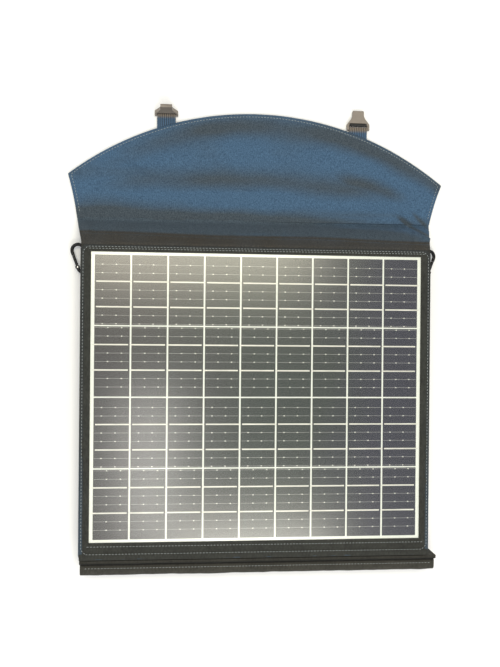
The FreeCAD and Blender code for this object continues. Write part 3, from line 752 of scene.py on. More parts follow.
class SOLARCASE_OT_panel_cloth(PieceOperator, bpy.types.Operator):
    """Make each panel's window cloth, back cloth, bound edge and stitches"""
    bl_idname = "solar_case.panel_cloth"
    bl_label = "Panel cloth"

    def window_height(self, x, y):
        """Cloth pulled tight round the laminate, with puckers at its seams and a tuck near the spine."""
        away = max(abs(x) - LAMINATE_HIGH.x + 0.0001, y - LAMINATE_HIGH.y, LAMINATE_LOW.y - y)
        pucker = ripple((x, y, 0.2), 95.0, 0.00028) + ripple((x, y, 0.7), 240.0, 0.00012)
        lift = 0.0004 * hump(away, 0.0022, 0.0032) + pucker * held_in(away / 0.002)
        if y < LAMINATE_LOW.y:
            wander = ripple((x, 0.3, 0.1), 14.0, 0.0011)
            lift -= TUCK_DEPTH * hump(y - TUCK_Y, wander, 0.0028)
            lift += TUCK_DEPTH * hump(y - WELT_Y, wander * 0.5, 0.0052)
        return lift

    def window_cloth(self, side, top, facing):
        window_x = LAMINATE_HIGH.x - 0.0018
        window_low, window_high = LAMINATE_LOW.y + 0.0015, LAMINATE_HIGH.y - 0.0015
        across = graded((-CLOTH_X, 8), (-window_x, 150), (window_x, 8), (CLOTH_X, 1))
        along = graded((CLOTH_LOW, 30), (window_low, 130), (window_high, 8), (CLOTH_HIGH, 1))
        piece = new_lattice(side + "_window_canvas", across, along,
                            lambda x, y: top + facing * (0.0002 + self.window_height(x, y)))
        cut_window(piece, -window_x, window_x, window_low, window_high)
        if facing < 0:
            in_edit(piece, bpy.ops.mesh.flip_normals)
        thicken(piece, 0.0009)
        dress(piece, self.cloth, "panel_cloth", side + "_window_cloth", body=side + "_panel")

    def back_height(self, x, y):
        """The stiffener board shows through the cloth as a faint step, with slack ripples between."""
        share = held_in(min(PANEL_HIGH.x - abs(x), PANEL_HIGH.y - y, y - PANEL_LOW.y) / 0.02)
        return share * (0.0001 + ripple((x, y, 0.5), 11.0, 0.0005) + ripple((x, y, 0.1), 60.0, 0.00018))

    def back_cloth(self, side, level, facing):
        across, along = graded((-CLOTH_X, 120), (CLOTH_X, 1)), graded((CLOTH_LOW, 106), (CLOTH_HIGH, 1))
        piece = new_lattice(side + "_back_canvas", across, along,
                            lambda x, y: level - facing * self.back_height(x, y))
        if facing > 0:
            in_edit(piece, bpy.ops.mesh.flip_normals)
        thicken(piece, 0.0008)
        dress(piece, self.cloth, "panel_cloth", side + "_back_cloth", body=side + "_panel")

    def outline_rounds(self, corner=0.007, turns=6, spacing=0.007):
        """Places round the panel's outline with their outward directions, close together at the corners."""
        path = []
        for k in range(4 * (turns + 1)):
            quarter, step = divmod(k, turns + 1)
            way = math.radians(90 * quarter + 90 * step / turns)
            x = PANEL_HIGH.x - corner if quarter in (0, 3) else PANEL_LOW.x + corner
            y = PANEL_HIGH.y - corner if quarter < 2 else PANEL_LOW.y + corner
            path.append(Vector((x + corner * math.cos(way), y + corner * math.sin(way), math.cos(way),
                                math.sin(way))))
        rounds = []
        for first, second in zip(path, path[1:] + path[:1]):
            steps = max(1, round((second.xy - first.xy).length / spacing))
            rounds += [first.lerp(second, k / steps) for k in range(steps)]
        return rounds

    def bound_edge(self, side, low_z, high_z):
        """Tape folded over the panel's edge and swept round its rounded corners."""
        tape = settings("canvas").tape
        rounds = self.outline_rounds()
        thick, proud = 0.0007, 0.00045
        half = ((-0.0012, -0.0016), (-0.0019, -0.0006), (-tape, proud - thick), (-tape, proud * 0.6),
                (-tape * 0.5, proud), (-0.0016, proud), (-0.0004, -0.0002), (0.0, -0.0014))
        outline = [(inward, high_z + up) for inward, up in half]
        outline += [(inward, low_z - up) for inward, up in reversed(half)]
        count = len(rounds)

        def rule(u, v):
            x, y, out_x, out_y = rounds[round(u * count) % count]
            inward, z = outline[round(v * len(outline)) % len(outline)]
            wave = ripple((x, y, 1.7), 60.0, 0.00035) if inward < -0.002 else 0.0
            pull = inward * (1 + wave * 120)
            return Vector((x + out_x * pull, y + out_y * pull, max(0.0002, z + wave * 0.5)))

        piece = in_edit(new_grid(side + "_bound_edge", count, len(outline), rule), weld, outwards)
        dress(piece, self.tape, "edge_tape", side + "_edge_binding", body=side + "_panel", angle=60)

    def seam_lines(self, side, level, back_level, facing):
        """Rows of stitches round each face, and along the laminate's top and bottom."""
        tape, reach = settings("canvas").tape - 0.0016, LAMINATE_HIGH.x + 0.0010
        faces = ((0.0082, tape * 0.8, level + facing * 0.00070), (tape, tape, back_level - facing * 0.00062))
        pieces = [sew(f"{side}_stitch_row_{k + 1}",
                      rectangle(PANEL_LOW.x + tape, PANEL_HIGH.x - tape, PANEL_LOW.y + below,
                                PANEL_HIGH.y - above, z), closed=True)
                  for k, (below, above, z) in enumerate(faces)]
        for k, y in enumerate((LAMINATE_LOW.y - 0.0034, LAMINATE_HIGH.y + 0.0026)):
            line = straight(reach, y, level + facing * 0.0009)
            pieces.append(sew(f"{side}_laminate_stitches_{k + 1}", line))
        dress(join(side + "_panel_stitches", pieces), thread(), "panel_cloth", body=side + "_panel")

    def build(self):
        facts = settings("canvas")
        self.cloth = canvas("panel_canvas", facts.charcoal)
        self.tape = canvas("binding_tape", facts.navy, 0.25, facts.navy_end)
        seats = {"front": (low("front_edge_binding").z, FRONT_TOP), "rear": (REAR_LOW.z, REAR_HIGH.z)}
        for side, facing, cloth_in, seam_in in (("front", 1, 0.0, 0.0), ("rear", -1, 0.0004, 0.0006)):
            low_z, high_z = seats[side]
            window_z, back_z = seats[side][::-facing]
            self.window_cloth(side, window_z + cloth_in, facing)
            self.back_cloth(side, back_z, facing)
            self.bound_edge(side, low_z, high_z)
            self.seam_lines(side, window_z + seam_in, back_z, facing)


# ---- spine ----
class SOLARCASE_OT_spine(PieceOperator, bpy.types.Operator):
    """Make the padded spine between the two panels, with its stitches"""
    bl_idname = "solar_case.spine"
    bl_label = "Spine"

    def build(self):
        shift = settings("canvas").spine_shift
        cover_low, cover_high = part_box("spine_cover")
        outer, inner = cover_low.y, cover_high.y
        top, floor = cover_high.z, max(cover_low.z, 0.0003)
        waist, rise = (top + floor) / 2, (top - floor) / 2
        shoulder = rise - 0.0076
        upper = [(inner, rise - 0.0030), (inner - 0.0012, rise - 0.0007), (inner - 0.0030, rise),
                 (inner - 0.0048, rise - 0.0010), (inner - 0.0060, rise - 0.0034),
                 (inner - 0.0066, shoulder - 0.0012), (inner - 0.0088, shoulder - 0.0002),
                 (inner - 0.0140, shoulder), (outer + 0.0040, shoulder - 0.0010),
                 (outer + 0.0010, shoulder - 0.0050), (outer + 0.0003, shoulder * 0.4)]
        loop = [(y, waist + z) for y, z in upper] + [(y, waist - z) for y, z in reversed(upper)]

        def slack(place, share):
            """Creases that run across the spine, and small puckers at its seams."""
            crease = ripple((place.x, place.y * 3, place.z), 26.0, 0.0008)
            crease += ripple((place.x, place.y, place.z * 0.3), 80.0, 0.0004)
            away = Vector((0.0, place.y - inner, (place.z - waist) * 0.3)).normalized()
            moved = place + away * (crease - 0.0009) * held_in((inner - place.y) / 0.008)
            pinch = min(1.0, min(share, 1 - share) * 26)
            z = waist + (moved.z - waist) * (0.97 + 0.03 * pinch)
            return Vector((moved.x + shift, held_in(moved.y, outer, inner), held_in(z, floor, top)))

        piece = new_sleeve("padded_spine", yz_line(loop, 96, True), cover_low.x, cover_high.x, 200, slack)
        # painted shade in the deep fold between the spine's bulge and the panel, near its top and bottom
        paint(piece, "valley_shade",
              lambda co: hump(co.y, inner - 0.0058, 0.0050) * (abs(co.z - waist) > shoulder * 0.8))
        cloth = canvas("spine_canvas", (0.048, 0.046, 0.038))
        dress(piece, cloth, "panel_cloth", "spine_cover", "spine_foam", body="spine", angle=60)
        reach = (cover_high.x - cover_low.x) / 2 - 0.006
        rows = [sew(f"spine_stitch_row_{k + 1}",
                    straight(reach, inner - 0.0120, waist + sign * (shoulder + 0.0001), shift))
                for k, sign in enumerate((1, -1))]
        dress(join("spine_stitches", rows), thread(), "panel_cloth", body="spine")


# ---- closing flap ----
SEAM_Y, LIT_BAND_Y = 0.2125, 0.262         # the gusset's seam at the panel, and the middle of the flap's painted highlight band
Fold = namedtuple("Fold", "start_x start_y end_x end_y sag half_width depth begins ends")
FOLDS = (
    Fold(-0.215, 0.300, 0.254, 0.292, 0.072, 0.0150, 0.80, 0.0, 1.0),
    Fold(0.100, 0.297, 0.222, 0.267, 0.006, 0.0105, 0.75, 0.3, 0.0),
    Fold(-0.235, 0.281, 0.240, 0.272, 0.015, 0.0145, 0.80, 0.0, 0.0),
    Fold(-0.252, 0.238, 0.160, 0.226, 0.002, 0.0205, 1.10, 1.0, 0.0),
    Fold(-0.050, 0.226, 0.245, 0.216, 0.000, 0.0110, 0.85, 0.0, 0.4),
    Fold(0.194, 0.250, 0.239, 0.217, 0.000, 0.0042, 0.90, 0.3, 0.8),
    Fold(0.216, 0.254, 0.244, 0.229, 0.000, 0.0036, 0.70, 0.3, 0.8),
)
# sharp little creases: start X and Y, and slope
CREASE_HEIGHT, CREASE_REACH = 0.0022, 0.045
CREASES = ((0.196, 0.243, -0.65), (0.206, 0.247, -0.80), (-0.190, 0.315, -0.35))


class FlapShape:
    """The flap's outline, read from its frame box, and the height of its waves."""

    def __init__(self):
        facts = settings("canvas")
        flap_low, flap_high = low("closing_flap"), high("closing_flap")
        self.base_y, self.crown_y, self.tip_x = flap_low.y, flap_high.y, flap_high.x
        self.base_x, self.hollow = facts.flap_base / 2, facts.flap_hollow
        self.tip_y = self.base_y + facts.tip_reach
        rise = self.crown_y - self.tip_y
        self.radius = (self.tip_x ** 2 + rise ** 2) / (2 * rise)
        self.floor, self.top = max(flap_low.z, 0.0002), flap_high.z

    def arc(self, x):
        return self.crown_y - self.radius + math.sqrt(max(self.radius ** 2 - x * x, 0.0))

    def reach(self, y):
        """How far a height is between the base line and the tips, from 0 to 1."""
        return held_in((y - self.base_y) / (self.tip_y - self.base_y))

    def bow(self, y):
        """How far the sides are pulled in at a height."""
        return self.hollow * 4 * self.reach(y) * (1 - self.reach(y))

    def spot(self, u, v, inset=0.0):
        """A point: u from side to side, v from base to arc, inset from the arc and the sides."""
        across = 2 * u - 1
        x_far, start = across * (self.tip_x - inset), across * (self.base_x - inset)
        y = self.base_y + (self.arc(x_far) - inset - self.base_y) * v
        return start + (x_far - start) * self.reach(y) - across * self.bow(y), y

    def drawn(self, x, y, lift=0.0):
        """The cloth's upper side at a point, its right side pulled a little further out and down."""
        share = max(0.0, x / self.tip_x) ** 3 * self.reach(y)
        return Vector((x + 0.0046 * share, y - 0.0034 * share, self.height(x, y) + lift))

    def fold_line(self, fold, x):
        """A fold's middle at one X: a shallow curve through its start, sag and end."""
        share = held_in((x - fold.start_x) / (fold.end_x - fold.start_x))
        straight_y = fold.start_y + (fold.end_y - fold.start_y) * share
        return straight_y + fold.sag * 4 * share * (1 - share), share

    def hollow_at(self, x, y):
        """How deep in a fold's hollow a point is, from 0 on the open cloth to 1."""
        deepest = 0.0
        for fold in FOLDS:
            line, share = self.fold_line(fold, x)
            line += 0.0035 * noise.noise(Vector((x * 9.0, fold.start_y * 20, 0.3)))
            fade = min(1.0, share * 3.2 + fold.begins, (1 - share) * 3.2 + fold.ends)
            soft = fold.depth * math.exp(-((y - line) / fold.half_width) ** 2)
            uneven = 0.95 + 0.4 * noise.noise(Vector((x * 11, y * 16, 0.7)))
            deepest = max(deepest, soft * fade * uneven)
        return min(1.0, deepest)

    def swell(self, x, y):
        """Height of the open cloth between its hollows, from 0 to 1."""
        return 1 - self.hollow_at(x, y)

    def hem(self, x, y):
        """1 at the flap's edge, falling to 0 inside its hem."""
        side = self.base_x + (self.tip_x - self.base_x) * self.reach(y) - self.bow(y) - abs(x)
        return held_in(1 - min(self.arc(held_in(x, -self.tip_x, self.tip_x)) - y, side) / 0.011)

    def height(self, x, y):
        """The height of the flap's upper side."""
        edge = self.hem(x, y)
        rise = settings("canvas").wave * self.swell(x, y) * (1 - edge) ** 0.7
        crumple = ripple((x, y, 0.4), 34.0, 0.0007) + ripple((x * 0.6, y * 1.5, 0.8), 90.0, 0.00035)
        roll = 0.0006 * hump(edge, 0.45, 0.42)
        crease = 0.0
        for start_x, start_y, slope in CREASES:
            off = (y - start_y) - slope * (x - start_x)
            near = max(0.0, 1 - abs(x - start_x - 0.03) / CREASE_REACH)
            crease += CREASE_HEIGHT * near * (hump(off, 0.0, 0.004) - 0.6 * hump(off, 0.006, 0.005))
        return self.top + rise + crumple * (1 - edge * 0.6) + roll + crease * (1 - edge)

    def stitch_points(self, inset, steps=150):
        """A line on the flap's top that runs up one side, round the arc and down the other."""
        left, right = ([self.spot(side, k / 20, inset) for k in range(3, 20)] for side in (0, 1))
        arc = [self.spot(k / steps, 1.0, inset) for k in range(steps + 1)]
        return [self.drawn(x, y, 0.00015) for x, y in left + arc + right[::-1]]


class SOLARCASE_OT_flap(PieceOperator, bpy.types.Operator):
    """Make the closing flap with its waves and hem"""
    bl_idname = "solar_case.flap"
    bl_label = "Closing flap"

    def build(self):
        shape = FlapShape()

        def upper(u, v):
            return shape.drawn(*shape.spot(u, v))

        def under(u, v):
            place = upper(u, v)
            place.z = max(shape.floor, shape.floor + (place.z - shape.floor - 0.0014) * 0.5)
            return place

        def crest(co):
            """Painted light and shade: blue light on the open cloth, a brighter painted highlight band
            across the flap, and grey painted shade in the fold hollows and near the base line.
            """
            near_base = max(0.0, 1 - (co.y - shape.base_y) / 0.018)
            band = 3.6 * max(0.0, 0.05 - abs(co.y - LIT_BAND_Y))
            open_cloth = shape.swell(co.x, co.y) - 0.10 + patch(co, 14, 26, 0.15, 0.6)
            return open_cloth - 0.42 * near_base + band

        sides = [new_grid("flap_top_side", 230, 90, upper), new_grid("flap_under_side", 230, 90, under)]
        in_edit(sides[1], bpy.ops.mesh.flip_normals)
        piece = join("closing_flap_canvas", sides)
        self.bridge_rims(piece)
        paint(piece, "crest", crest)
        # painted shade: brown in the fold hollows
        paint(piece, "brown_shade", lambda co: 0.16 * shape.hollow_at(co.x, co.y) * (1 + ripple(co, 14.0, 0.6)))
        dress(piece, flap_canvas(), "blue_canvas", "closing_flap", angle=75)
        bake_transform(piece)

    def bridge_rims(self, piece):
        """Join the rims of the two sides into one closed edge."""
        activate(piece)
        bpy.ops.object.mode_set(mode="EDIT")
        bpy.ops.mesh.select_all(action="DESELECT")
        bpy.ops.mesh.select_non_manifold()
        bpy.ops.mesh.bridge_edge_loops()
        bpy.ops.mesh.select_all(action="SELECT")
        outwards()
        bpy.ops.object.mode_set(mode="OBJECT")


class SOLARCASE_OT_gusset(PieceOperator, bpy.types.Operator):
    """Make the sloping gusset that joins the flap to the front panel"""
    bl_idname = "solar_case.gusset"
    bl_label = "Gusset"

    def build(self):
        start, end, wall = GUSSET_AXIS, FLAP_AXIS, 0.0009
        run = end - start
        along = Vector((0, run.y, run.z)).normalized()
        out = Vector((0, -along.z, along.y))
        middle = [start + Vector((0, -0.0030, 0.0006)), start + Vector((0, -0.0012, 0.0016)),
                  start + out * 0.0006]
        middle += [start + along * run.length * share + out * 0.0012 * math.sin(math.pi * share)
                   for share in (0.15, 0.3, 0.45, 0.6, 0.75, 0.9)]
        middle += [end + Vector((0, 0.0004, 0.0013)), end + Vector((0, 0.0042, 0.0014))]
        line = [Vector(point) for point in yz_line([(p.y, p.z) for p in middle], 40)]
        upper, under = [], []
        for k, point in enumerate(line):
            ahead = line[min(k + 1, len(line) - 1)] - line[max(k - 1, 0)]
            side = Vector((-ahead.y, ahead.x)).normalized() * wall
            upper.append(point + side)
            under.append(point - side)
        half_top, half_low = PANEL_HIGH.x - 0.001, settings("canvas").flap_base / 2 - 0.0005

        def gather(place, share):
            """The cloth widens towards the flap and stands in soft folds down its slope."""
            slope_share = held_in((place.y - start.y) / run.y)
            across = place.x * (half_top + (half_low - half_top) * slope_share)
            fold = ripple((place.x, 0.4, 0.1), 30.0, 0.0020) + ripple((place.x, place.y, 0.9), 85.0, 0.0007)
            for start_x, lean in ((0.200, 1.5), (0.210, 1.15), (0.221, 0.7), (-0.214, -0.5)):
                off = across - start_x - lean * (end.y - place.y)
                fold += 0.0021 * (hump(off, 0.0, 0.0035) - 0.5 * hump(off, 0.007, 0.0045))
            moved = Vector((across, place.y, place.z)) + out * fold * math.sin(math.pi * slope_share)
            moved.z = max(0.0003, moved.z)
            return moved

        # painted light: blue on the gusset's open cloth, more towards the right, grey painted shade in its
        # hollows
        def crest(co):
            most = min(max(0.06, 0.20 + 1.6 * co.x), shape.swell(co.x, co.y) - 0.25)
            return most + patch(co, 20, 34, 0.2, 0.2)

        def brown_shade(co):
            """Brownish painted shade on the slope below the seam at the panel and along the seam, with a
            soft edge.
            """
            seam = SEAM_Y + 0.003 * noise.noise(Vector((co.x * 6, 0.4, 0.1))) - 0.010 * co.x
            below = 0.92 * held_in((seam - co.y) / 0.003)
            return max(0.0, max(below, hump(co.y, seam, 0.0042)) + patch(co, 30, 60, 0.12, 0.0))

        shape = FlapShape()
        piece = new_sleeve("flap_gusset_canvas", upper + under[::-1], -1.0, 1.0, 220, gather)
        paint(piece, "crest", crest)
        paint(piece, "brown_shade", brown_shade)
        dress(piece, bpy.data.materials["flap_canvas"], "blue_canvas", "flap_gusset", angle=75)
        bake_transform(piece)


class SOLARCASE_OT_flap_stitches(PieceOperator, bpy.types.Operator):
    """Sew the flap's hem"""
    bl_idname = "solar_case.flap_stitches"
    bl_label = "Flap stitches"

    def build(self):
        hem = sew("flap_hem_row", FlapShape().stitch_points(0.0045))
        dress(join("flap_stitches", [hem]), thread(), "blue_canvas", body="flap")


# ---- webbing ----
STRAP_THICK = 0.00085


def ribbed_cloth(name):
    """Ribbed woven webbing, tan and worn where it passes through a buckle, with painted shade in the grooves
    between its ribs.
    """
    blue, tan = settings("fitting").webbing_blue, settings("fitting").webbing_tan
    shader = Shader(name, blue, Roughness=0.7, Sheen_Weight=0.06, Sheen_Roughness=0.35,
                    Specular_IOR_Level=0.3)
    picks, slubs = shader.wave(0.0011, "Y", 1.0), shader.noise(1100.0, 3.0, 0.65)
    ground = shader.tone(blue, shader.total(shader.math("MULTIPLY", picks, 0.35), (slubs, 0.6)), 0.34)
    ground = shader.mix(shader.attribute("worn"), ground, tan)
    # painted shade: near black in the grooves between the ribs
    shader.base(shader.mix(shader.attribute("gap"), ground, (0.008, 0.011, 0.018)))
    shader.bump(shader.math("ADD", picks, slubs), 0.5, 0.0003)
    return shader.material


def webbing():
    return made_once("ribbed_webbing", ribbed_cloth)


def new_strap(name, line, middle_x, width, thickness, ribs):
    """Webbing swept along a line of (Y, Z) points: a flat loop of ribs with rounded selvedges."""
    crown, samples = 0.00028, ribs * 6
    loop = []
    for share in (k / samples for k in range(samples + 1)):
        rib = crown * abs(math.sin(math.pi * ribs * share))
        loop.append((width * (0.5 - share), thickness / 2 + rib - crown))
    loop += [(x, -z) for x, z in reversed(loop)]
    last = len(line) - 1

    def rule(u, v):
        k = round(u * last)
        x, off = loop[round(v * len(loop)) % len(loop)]
        way = (Vector(line[min(k + 1, last)]) - Vector(line[max(k - 1, 0)])).normalized()
        return Vector((middle_x + x, line[k][0] - way.y * off, line[k][1] + way.x * off))

    # painted shade mask: 1 in the grooves between ribs, 0 on their tops
    def gap(co):
        return (1 - abs(math.sin(math.pi * ribs * ((co.x - middle_x) / width + 0.5)))) ** 0.6

    piece = in_edit(new_grid(name, last, len(loop), rule), weld, close_ends)
    paint(piece, "gap", gap)
    return piece


class SOLARCASE_OT_straps(PieceOperator, bpy.types.Operator):
    """Make the two ribbed straps of the flap, looped round their buckle bars"""
    bl_idname = "solar_case.straps"
    bl_label = "Straps"

    def strap(self, side):
        facts, bar = settings("fitting"), joint_point(side + "_buckle_tilt")
        box_low, box_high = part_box(side + "_strap")
        width, middle = box_high.x - box_low.x, (box_low.x + box_high.x) / 2
        hidden = FlapShape().arc(middle) - 0.0125
        lower = [(hidden, bar.z - 0.0010), (hidden + 0.006, bar.z - 0.0010),
                 (bar.y - 0.0070, bar.z - 0.0007)]
        ring = on_ring(facts.bar_radius + 0.00015 + STRAP_THICK / 2, *range(-140, 141, 35))
        upper = [(bar.y - 0.0070, bar.z + 0.0004), (hidden + 0.006, bar.z), (hidden, bar.z)]
        line = yz_line(lower + [(bar.y + y, bar.z + z) for y, z in ring] + upper, 110)
        piece = new_strap(side + "_ribbed_strap", line, middle, width, STRAP_THICK, facts.ribs)
        paint(piece, "worn", lambda co: 0.85 * held_in((co.y - bar.y + 0.0060) / 0.004))
        dress(piece, webbing(), "webbing", side + "_strap", body="flap", angle=60)

    def build(self):
        self.strap("left")
        self.strap("right")


class SOLARCASE_OT_pocket_webbing(PieceOperator, bpy.types.Operator):
    """Make the carry handle, its sleeve, the socket straps and the carabiner loops"""
    bl_idname = "solar_case.pocket_webbing"
    bl_label = "Pocket webbing"

    def handle(self):
        facts = settings("fitting")
        (_, low_y, low_z), (span, high_y, high_z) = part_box("carry_handle_strap")
        thick, bow, reach = facts.handle_thickness, facts.handle_length / 2, high_y - low_y
        foot, crest = low_y + thick / 2, high_y - thick / 2
        half = [(bow * 0.3, crest), (bow - reach, crest), (bow - reach * 0.45, foot + reach * 0.42),
                (bow + 0.004, foot), (span, foot)]
        points = yz_line([(-x, y) for x, y in reversed(half)] + half, 120)
        line = [(x, held_in(y, foot, crest)) for x, y in points]
        strap = new_strap("handle_strap", line, 0.0, high_z - low_z, thick, 8)
        for vertex in strap.data.vertices:
            cross, along, side = vertex.co
            vertex.co = Vector((along, side, (low_z + high_z) / 2 + cross))
        in_edit(strap, outwards)
        dress(strap, webbing(), "webbing", "carry_handle_strap", body="spine", angle=60)

    def grip(self):
        """A moulded grip round the handle, with shallow ribs and rolled ends."""
        lowest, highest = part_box("carry_handle_sleeve")
        middle, half = (lowest + highest) / 2, (highest - lowest) / 2
        profile = [(middle.y + half.y * math.copysign(abs(c) ** 0.55, c),
                    middle.z + half.z * math.copysign(abs(s) ** 0.35, s))
                   for c, s in on_ring(1.0, *(7.5 * k for k in range(48)))]

        def ribbed(place, share):
            ends = min(1.0, min(share, 1 - share) * 22)
            rib = 0.00035 * (0.5 + 0.5 * math.cos(math.tau * share * 20))
            shrink = 0.90 + 0.10 * ends
            y = middle.y + (place.y - middle.y) * shrink - math.copysign(rib, place.y - middle.y) * 0.5
            return Vector((place.x, y, middle.z + (place.z - middle.z) * (shrink - rib / half.z)))

        sleeve = new_sleeve("handle_grip", profile, lowest.x, highest.x, 160, ribbed)
        rubber = plastic("grip_rubber", settings("fitting").black, 0.75)
        dress(sleeve, rubber, "box_seal", "carry_handle_sleeve", body="spine", angle=60)

    def socket_straps(self):
        """Two straps sewn to the rear panel's back, each looped round the bar of its socket."""
        facts = settings("fitting")
        box_low, box_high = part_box("socket_straps")
        back, bar_z = box_low.z + 0.0011, box_high.z - 0.0030
        ring = on_ring(facts.bar_radius + 0.00065, *range(190, -101, -29))
        pieces, rows = [], []
        for side, drop in (("left", facts.socket_offset), ("right", 0.0)):
            middle, top = joint_point(side + "_buckle_tilt").x, box_high.y - drop
            bar_y, start = top - 0.0030, top - facts.socket_strap
            lower = [(start, back), (start + 0.012, back), (bar_y - 0.010, back),
                     (bar_y - 0.0045, back + 0.0012)]
            upper = [(bar_y - 0.0040, back + 0.0019), (bar_y - 0.010, back + 0.0010),
                     (bar_y - 0.026, back + 0.0010)]
            line = yz_line(lower + [(bar_y + y, bar_z + z) for y, z in ring] + upper, 130)
            name = side + "_socket_strap"
            pieces.append(new_strap(name, line, middle, facts.webbing, STRAP_THICK, facts.ribs))
            level = back + STRAP_THICK / 2 + 0.0001
            rows += self.box_stitch(side, middle, start + 0.0040, start + 0.0200, level)
        straps = join("socket_webbing", pieces)
        dress(straps, webbing(), "webbing", "socket_straps", body="rear_panel", angle=60)
        dress(join("socket_stitches", rows), thread(), "webbing", body="rear_panel")

    def box_stitch(self, side, middle, near, far, level, half=0.0095):
        """A stitched box with a cross in it."""
        corners = ((-1, near), (1, near), (1, far), (-1, far))
        box = [Vector((middle + sign * half, y, level)) for sign, y in corners]
        lines = list(zip(box, box[1:] + box[:1])) + [(box[0], box[2]), (box[1], box[3])]
        return [sew(f"{side}_box_{k}", [first.lerp(second, s / 6) for s in range(7)])
                for k, (first, second) in enumerate(lines)]

    def carabiner_loops(self):
        """Doubled webbing behind each upper corner, opening round the carabiner's spine bar."""
        box_low, box_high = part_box("carabiner_loops")
        outer, thick, layer, width = 0.00365, 0.0009, 0.00062, 0.0100
        level = box_low.z + outer
        tall, c, s = box_high.z - level, *on_ring(1.0, math.degrees(settings("fitting").loop_tilt))[0]
        middle_x, middle_y = box_high.x - width * s / 2 - outer * c, (box_low.y + box_high.y) / 2
        down = [(-layer, tall), (-layer, 0.016), (-layer, 0.0062)]
        ring = on_ring(outer - thick / 2 - 0.0001, *range(130, 411, 28))
        line = yz_line(down + ring + [(-y, z) for y, z in reversed(down)], 90)
        pieces = []
        for sign in (-1, 1):
            piece = new_strap("carabiner_loop", line, 0.0, width, thick, 4)
            for vertex in piece.data.vertices:
                cross, along, height = vertex.co
                x, y = middle_x + along * c + cross * s, middle_y + cross * c - along * s
                vertex.co = Vector((sign * x, y, level + height))
            pieces.append(in_edit(piece, outwards))
        dress(join("carabiner_webbing", pieces), webbing(), "webbing", "carabiner_loops", body="front_panel",
              angle=60)

    def build(self):
        self.handle()
        self.grip()
        self.socket_straps()
        self.carabiner_loops()


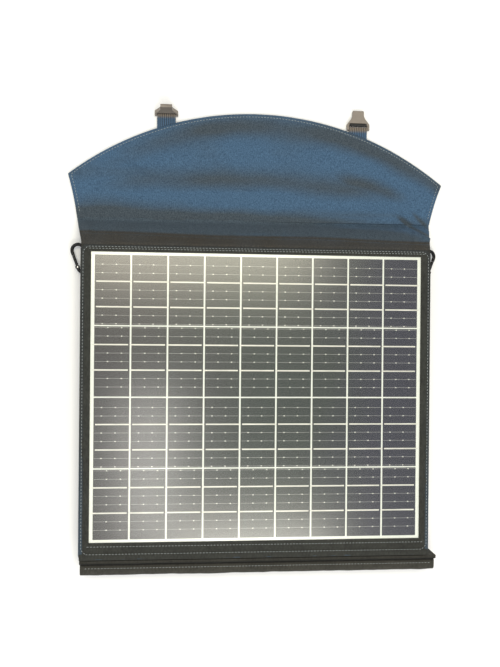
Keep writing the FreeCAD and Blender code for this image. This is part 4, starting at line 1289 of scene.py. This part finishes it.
# ---- hard fittings ----
class SOLARCASE_OT_fittings(PieceOperator, bpy.types.Operator):
    """Give the plastic, metal, glass and circuit board parts their finishes"""
    bl_idname = "solar_case.fittings"
    bl_label = "Fittings"

    def glass(self):
        shader = Shader("display_glass", (0.95, 0.98, 1.0), Alpha=0.22, IOR=1.5, Coat_Weight=0.4)
        shader.roughness(shader.spread(shader.noise(40.0, 3.0, 0.6), to_low=0.04, to_high=0.16))
        return shader.material

    def display(self):
        """A pale green liquid crystal field with faint segment rows."""
        pale = (0.30, 0.36, 0.24)
        shader = tinted("display_field", pale, 0.2, 90.0, Roughness=0.35)
        rows = shader.ramp(shader.wave(0.007, "Y"), (0.80, pale), (0.90, (0.20, 0.25, 0.17)))
        shader.base(shader.mix(0.15, rows, shader.tone(pale, shader.marks, 0.2)))
        return shader.material

    def board(self, name, base, second, scale):
        shader = Shader(name, base, Roughness=0.5)
        flecks = shader.node("ShaderNodeTexVoronoi", {"Vector": shader.coords(), "Scale": scale})
        shader.base(shader.ramp(flecks.outputs["Distance"], (0.10, base), (0.45, second)))
        shader.bump(flecks.outputs["Distance"], 0.2, 0.0002)
        return shader.material

    def plug(self, side, material):
        """A buckle's plug: a body narrowing to its neck, a recessed slot painted dark as its shadow, and two
        cheeks that hold the bar.
        """
        facts, pin = settings("fitting"), joint_point(side + "_buckle_tilt")
        half, neck, thick, length, slot, cheek = 0.0158, 0.0078, 0.0024, 0.0248, 0.0038, 0.01275
        outline = ((slot, half - 0.0002), (slot + 0.0008, half), (slot + 0.0024, half - 0.0003),
                   (slot + 0.0100, neck + 0.0016), (slot + 0.0136, neck + 0.0001), (length - 0.0008, neck),
                   (length, neck - 0.0008))

        def rule(u, v):
            along = slot + (length - slot) * u
            (y0, wide0), (y1, wide1) = next(pair for pair in zip(outline, outline[1:])
                                            if along <= pair[1][0] + 1e-9)
            wide = wide0 + (wide1 - wide0) * (along - y0) / (y1 - y0)
            (c, s), = on_ring(1.0, 360 * v)
            x = wide * math.copysign(min(1.0, abs(c) * 1.45) ** 0.6, c)
            rounded = 0.72 + 0.28 * min(1.0, (along - slot) / 0.0008, (length - along) / 0.0008)
            z = rounded * thick * math.copysign(min(1.0, abs(s) * 3.2) ** 0.6, s)
            if abs(s) > 0.1:
                inside = held_in((slot + facts.slot_reach - along) / 0.0005)
                z -= math.copysign(0.0012 * inside * held_in((0.0122 - abs(x)) / 0.0006), s)
            return Vector((x, along, z))

        # painted shadow mask: 1 inside the slot's recess
        def slot_shadow(co):
            return float(slot - 0.0001 < co.y < slot + facts.slot_reach and abs(co.x) < 0.0124)

        pieces = [in_edit(new_grid("plug_body", 44, 72, rule), weld, close_ends)]
        for near, far in ((-half, -cheek), (cheek, half)):
            low_corner, high_corner = (near, -0.0018, -thick), (far, slot + 0.0012, thick)
            pieces.append(new_block("plug_cheek", low_corner, high_corner, 0.0006))
        pieces.append(new_bar("plug_bar", facts.bar_radius, 2 * (half - 0.001)))
        plug = join(side + "_plug", pieces)
        paint(plug, "slot", slot_shadow)
        (c, s), = on_ring(1.0, math.degrees(facts.left_tilt) if side == "left" else 0.0)
        for vertex in plug.data.vertices:
            x, y, z = vertex.co
            vertex.co = pin + Vector((x, y * c - z * s, y * s + z * c))
        in_edit(plug, outwards)
        dress(plug, material, "buckle_plastic", side + "_buckle_plug", body=side + "_buckle", angle=50)

    def build(self):
        facts = settings("fitting")
        taupe = plastic("buckle_acetal", facts.taupe, 0.42)
        self.plug("left", taupe)
        self.plug("right", taupe)
        black = plastic("black_housing", facts.black, 0.5, 900.0, 0.35)
        rubber = plastic("seal_rubber", (0.022, 0.022, 0.024), 0.8, 1800.0, 0.3)
        steel = metal("screw_steel", (0.55, 0.56, 0.57), 0.3)
        brass = metal("terminal_brass", (0.62, 0.48, 0.24), 0.35)
        anodised = metal("anodised_black", facts.anodised, 0.26, 0.75, (1.0, 1.0, 6.0))
        green = self.board("controller_board", (0.012, 0.10, 0.045), (0.03, 0.17, 0.08), 900.0)
        fibre = self.board("fibre_board", (0.17, 0.13, 0.09), (0.24, 0.19, 0.13), 700.0)
        refinish(taupe, "buckle_sockets")
        refinish(black, "controller_back_shell", "controller_face_shell", "button_switches")
        refinish(rubber, "menu_button", "set_button")
        refinish(steel, "controller_screws", "terminal_screws", "left_gate_pin", "right_gate_pin")
        refinish(anodised, "left_carabiner", "right_carabiner", "left_gate", "right_gate")
        refinish(green, "controller_circuit_board")
        refinish(self.display(), "controller_display")
        refinish(self.glass(), "display_window")
        refinish(plastic("terminal_green", (0.03, 0.20, 0.08)), "terminal_blocks")
        for side in ("front", "rear"):
            box = side + "_junction_"
            refinish(black, box + "base", box + "lid", side + "_bypass_diode", side + "_cable_gland")
            refinish(rubber, box + "gasket")
            refinish(steel, box + "screws")
            refinish(brass, box + "terminals")
            refinish(fibre, side + "_stiffener_board")


# ---- add-on ----
class SOLARCASE_PT_pieces(bpy.types.Panel):
    """Lists the sizes, the colours and the pieces"""
    bl_label = "Solar case"
    bl_idname = "SOLARCASE_PT_pieces"
    bl_space_type = "VIEW_3D"
    bl_region_type = "UI"
    bl_category = "Solar case"

    def draw(self, context):
        for group, kind in SETTINGS:
            box = self.layout.box()
            box.label(text=group.title())
            for name in kind.__annotations__:
                box.prop(settings(group), name)
        for piece in PIECES:
            self.layout.operator(piece.bl_idname)


SETTINGS = (("canvas", CanvasSettings), ("laminate", LaminateSettings), ("fitting", FittingSettings),
            ("stage", StageSettings))
PIECES = (SOLARCASE_OT_stage, SOLARCASE_OT_laminates, SOLARCASE_OT_panel_cloth, SOLARCASE_OT_spine,
          SOLARCASE_OT_flap, SOLARCASE_OT_gusset, SOLARCASE_OT_flap_stitches, SOLARCASE_OT_straps,
          SOLARCASE_OT_pocket_webbing, SOLARCASE_OT_fittings)


def register():
    for group, kind in SETTINGS:
        bpy.utils.register_class(kind)
        setattr(bpy.types.Scene, "solar_case_" + group, PointerProperty(type=kind))
    for piece in (*PIECES, SOLARCASE_PT_pieces):
        bpy.utils.register_class(piece)


def unregister():
    for piece in (SOLARCASE_PT_pieces, *reversed(PIECES)):
        bpy.utils.unregister_class(piece)
    for group, kind in SETTINGS:
        delattr(bpy.types.Scene, "solar_case_" + group)
        bpy.utils.unregister_class(kind)


def main():
    register()
    for piece in PIECES:
        family, name = piece.bl_idname.split(".")
        getattr(getattr(bpy.ops, family), name)()


if __name__ == "__main__":
    main()
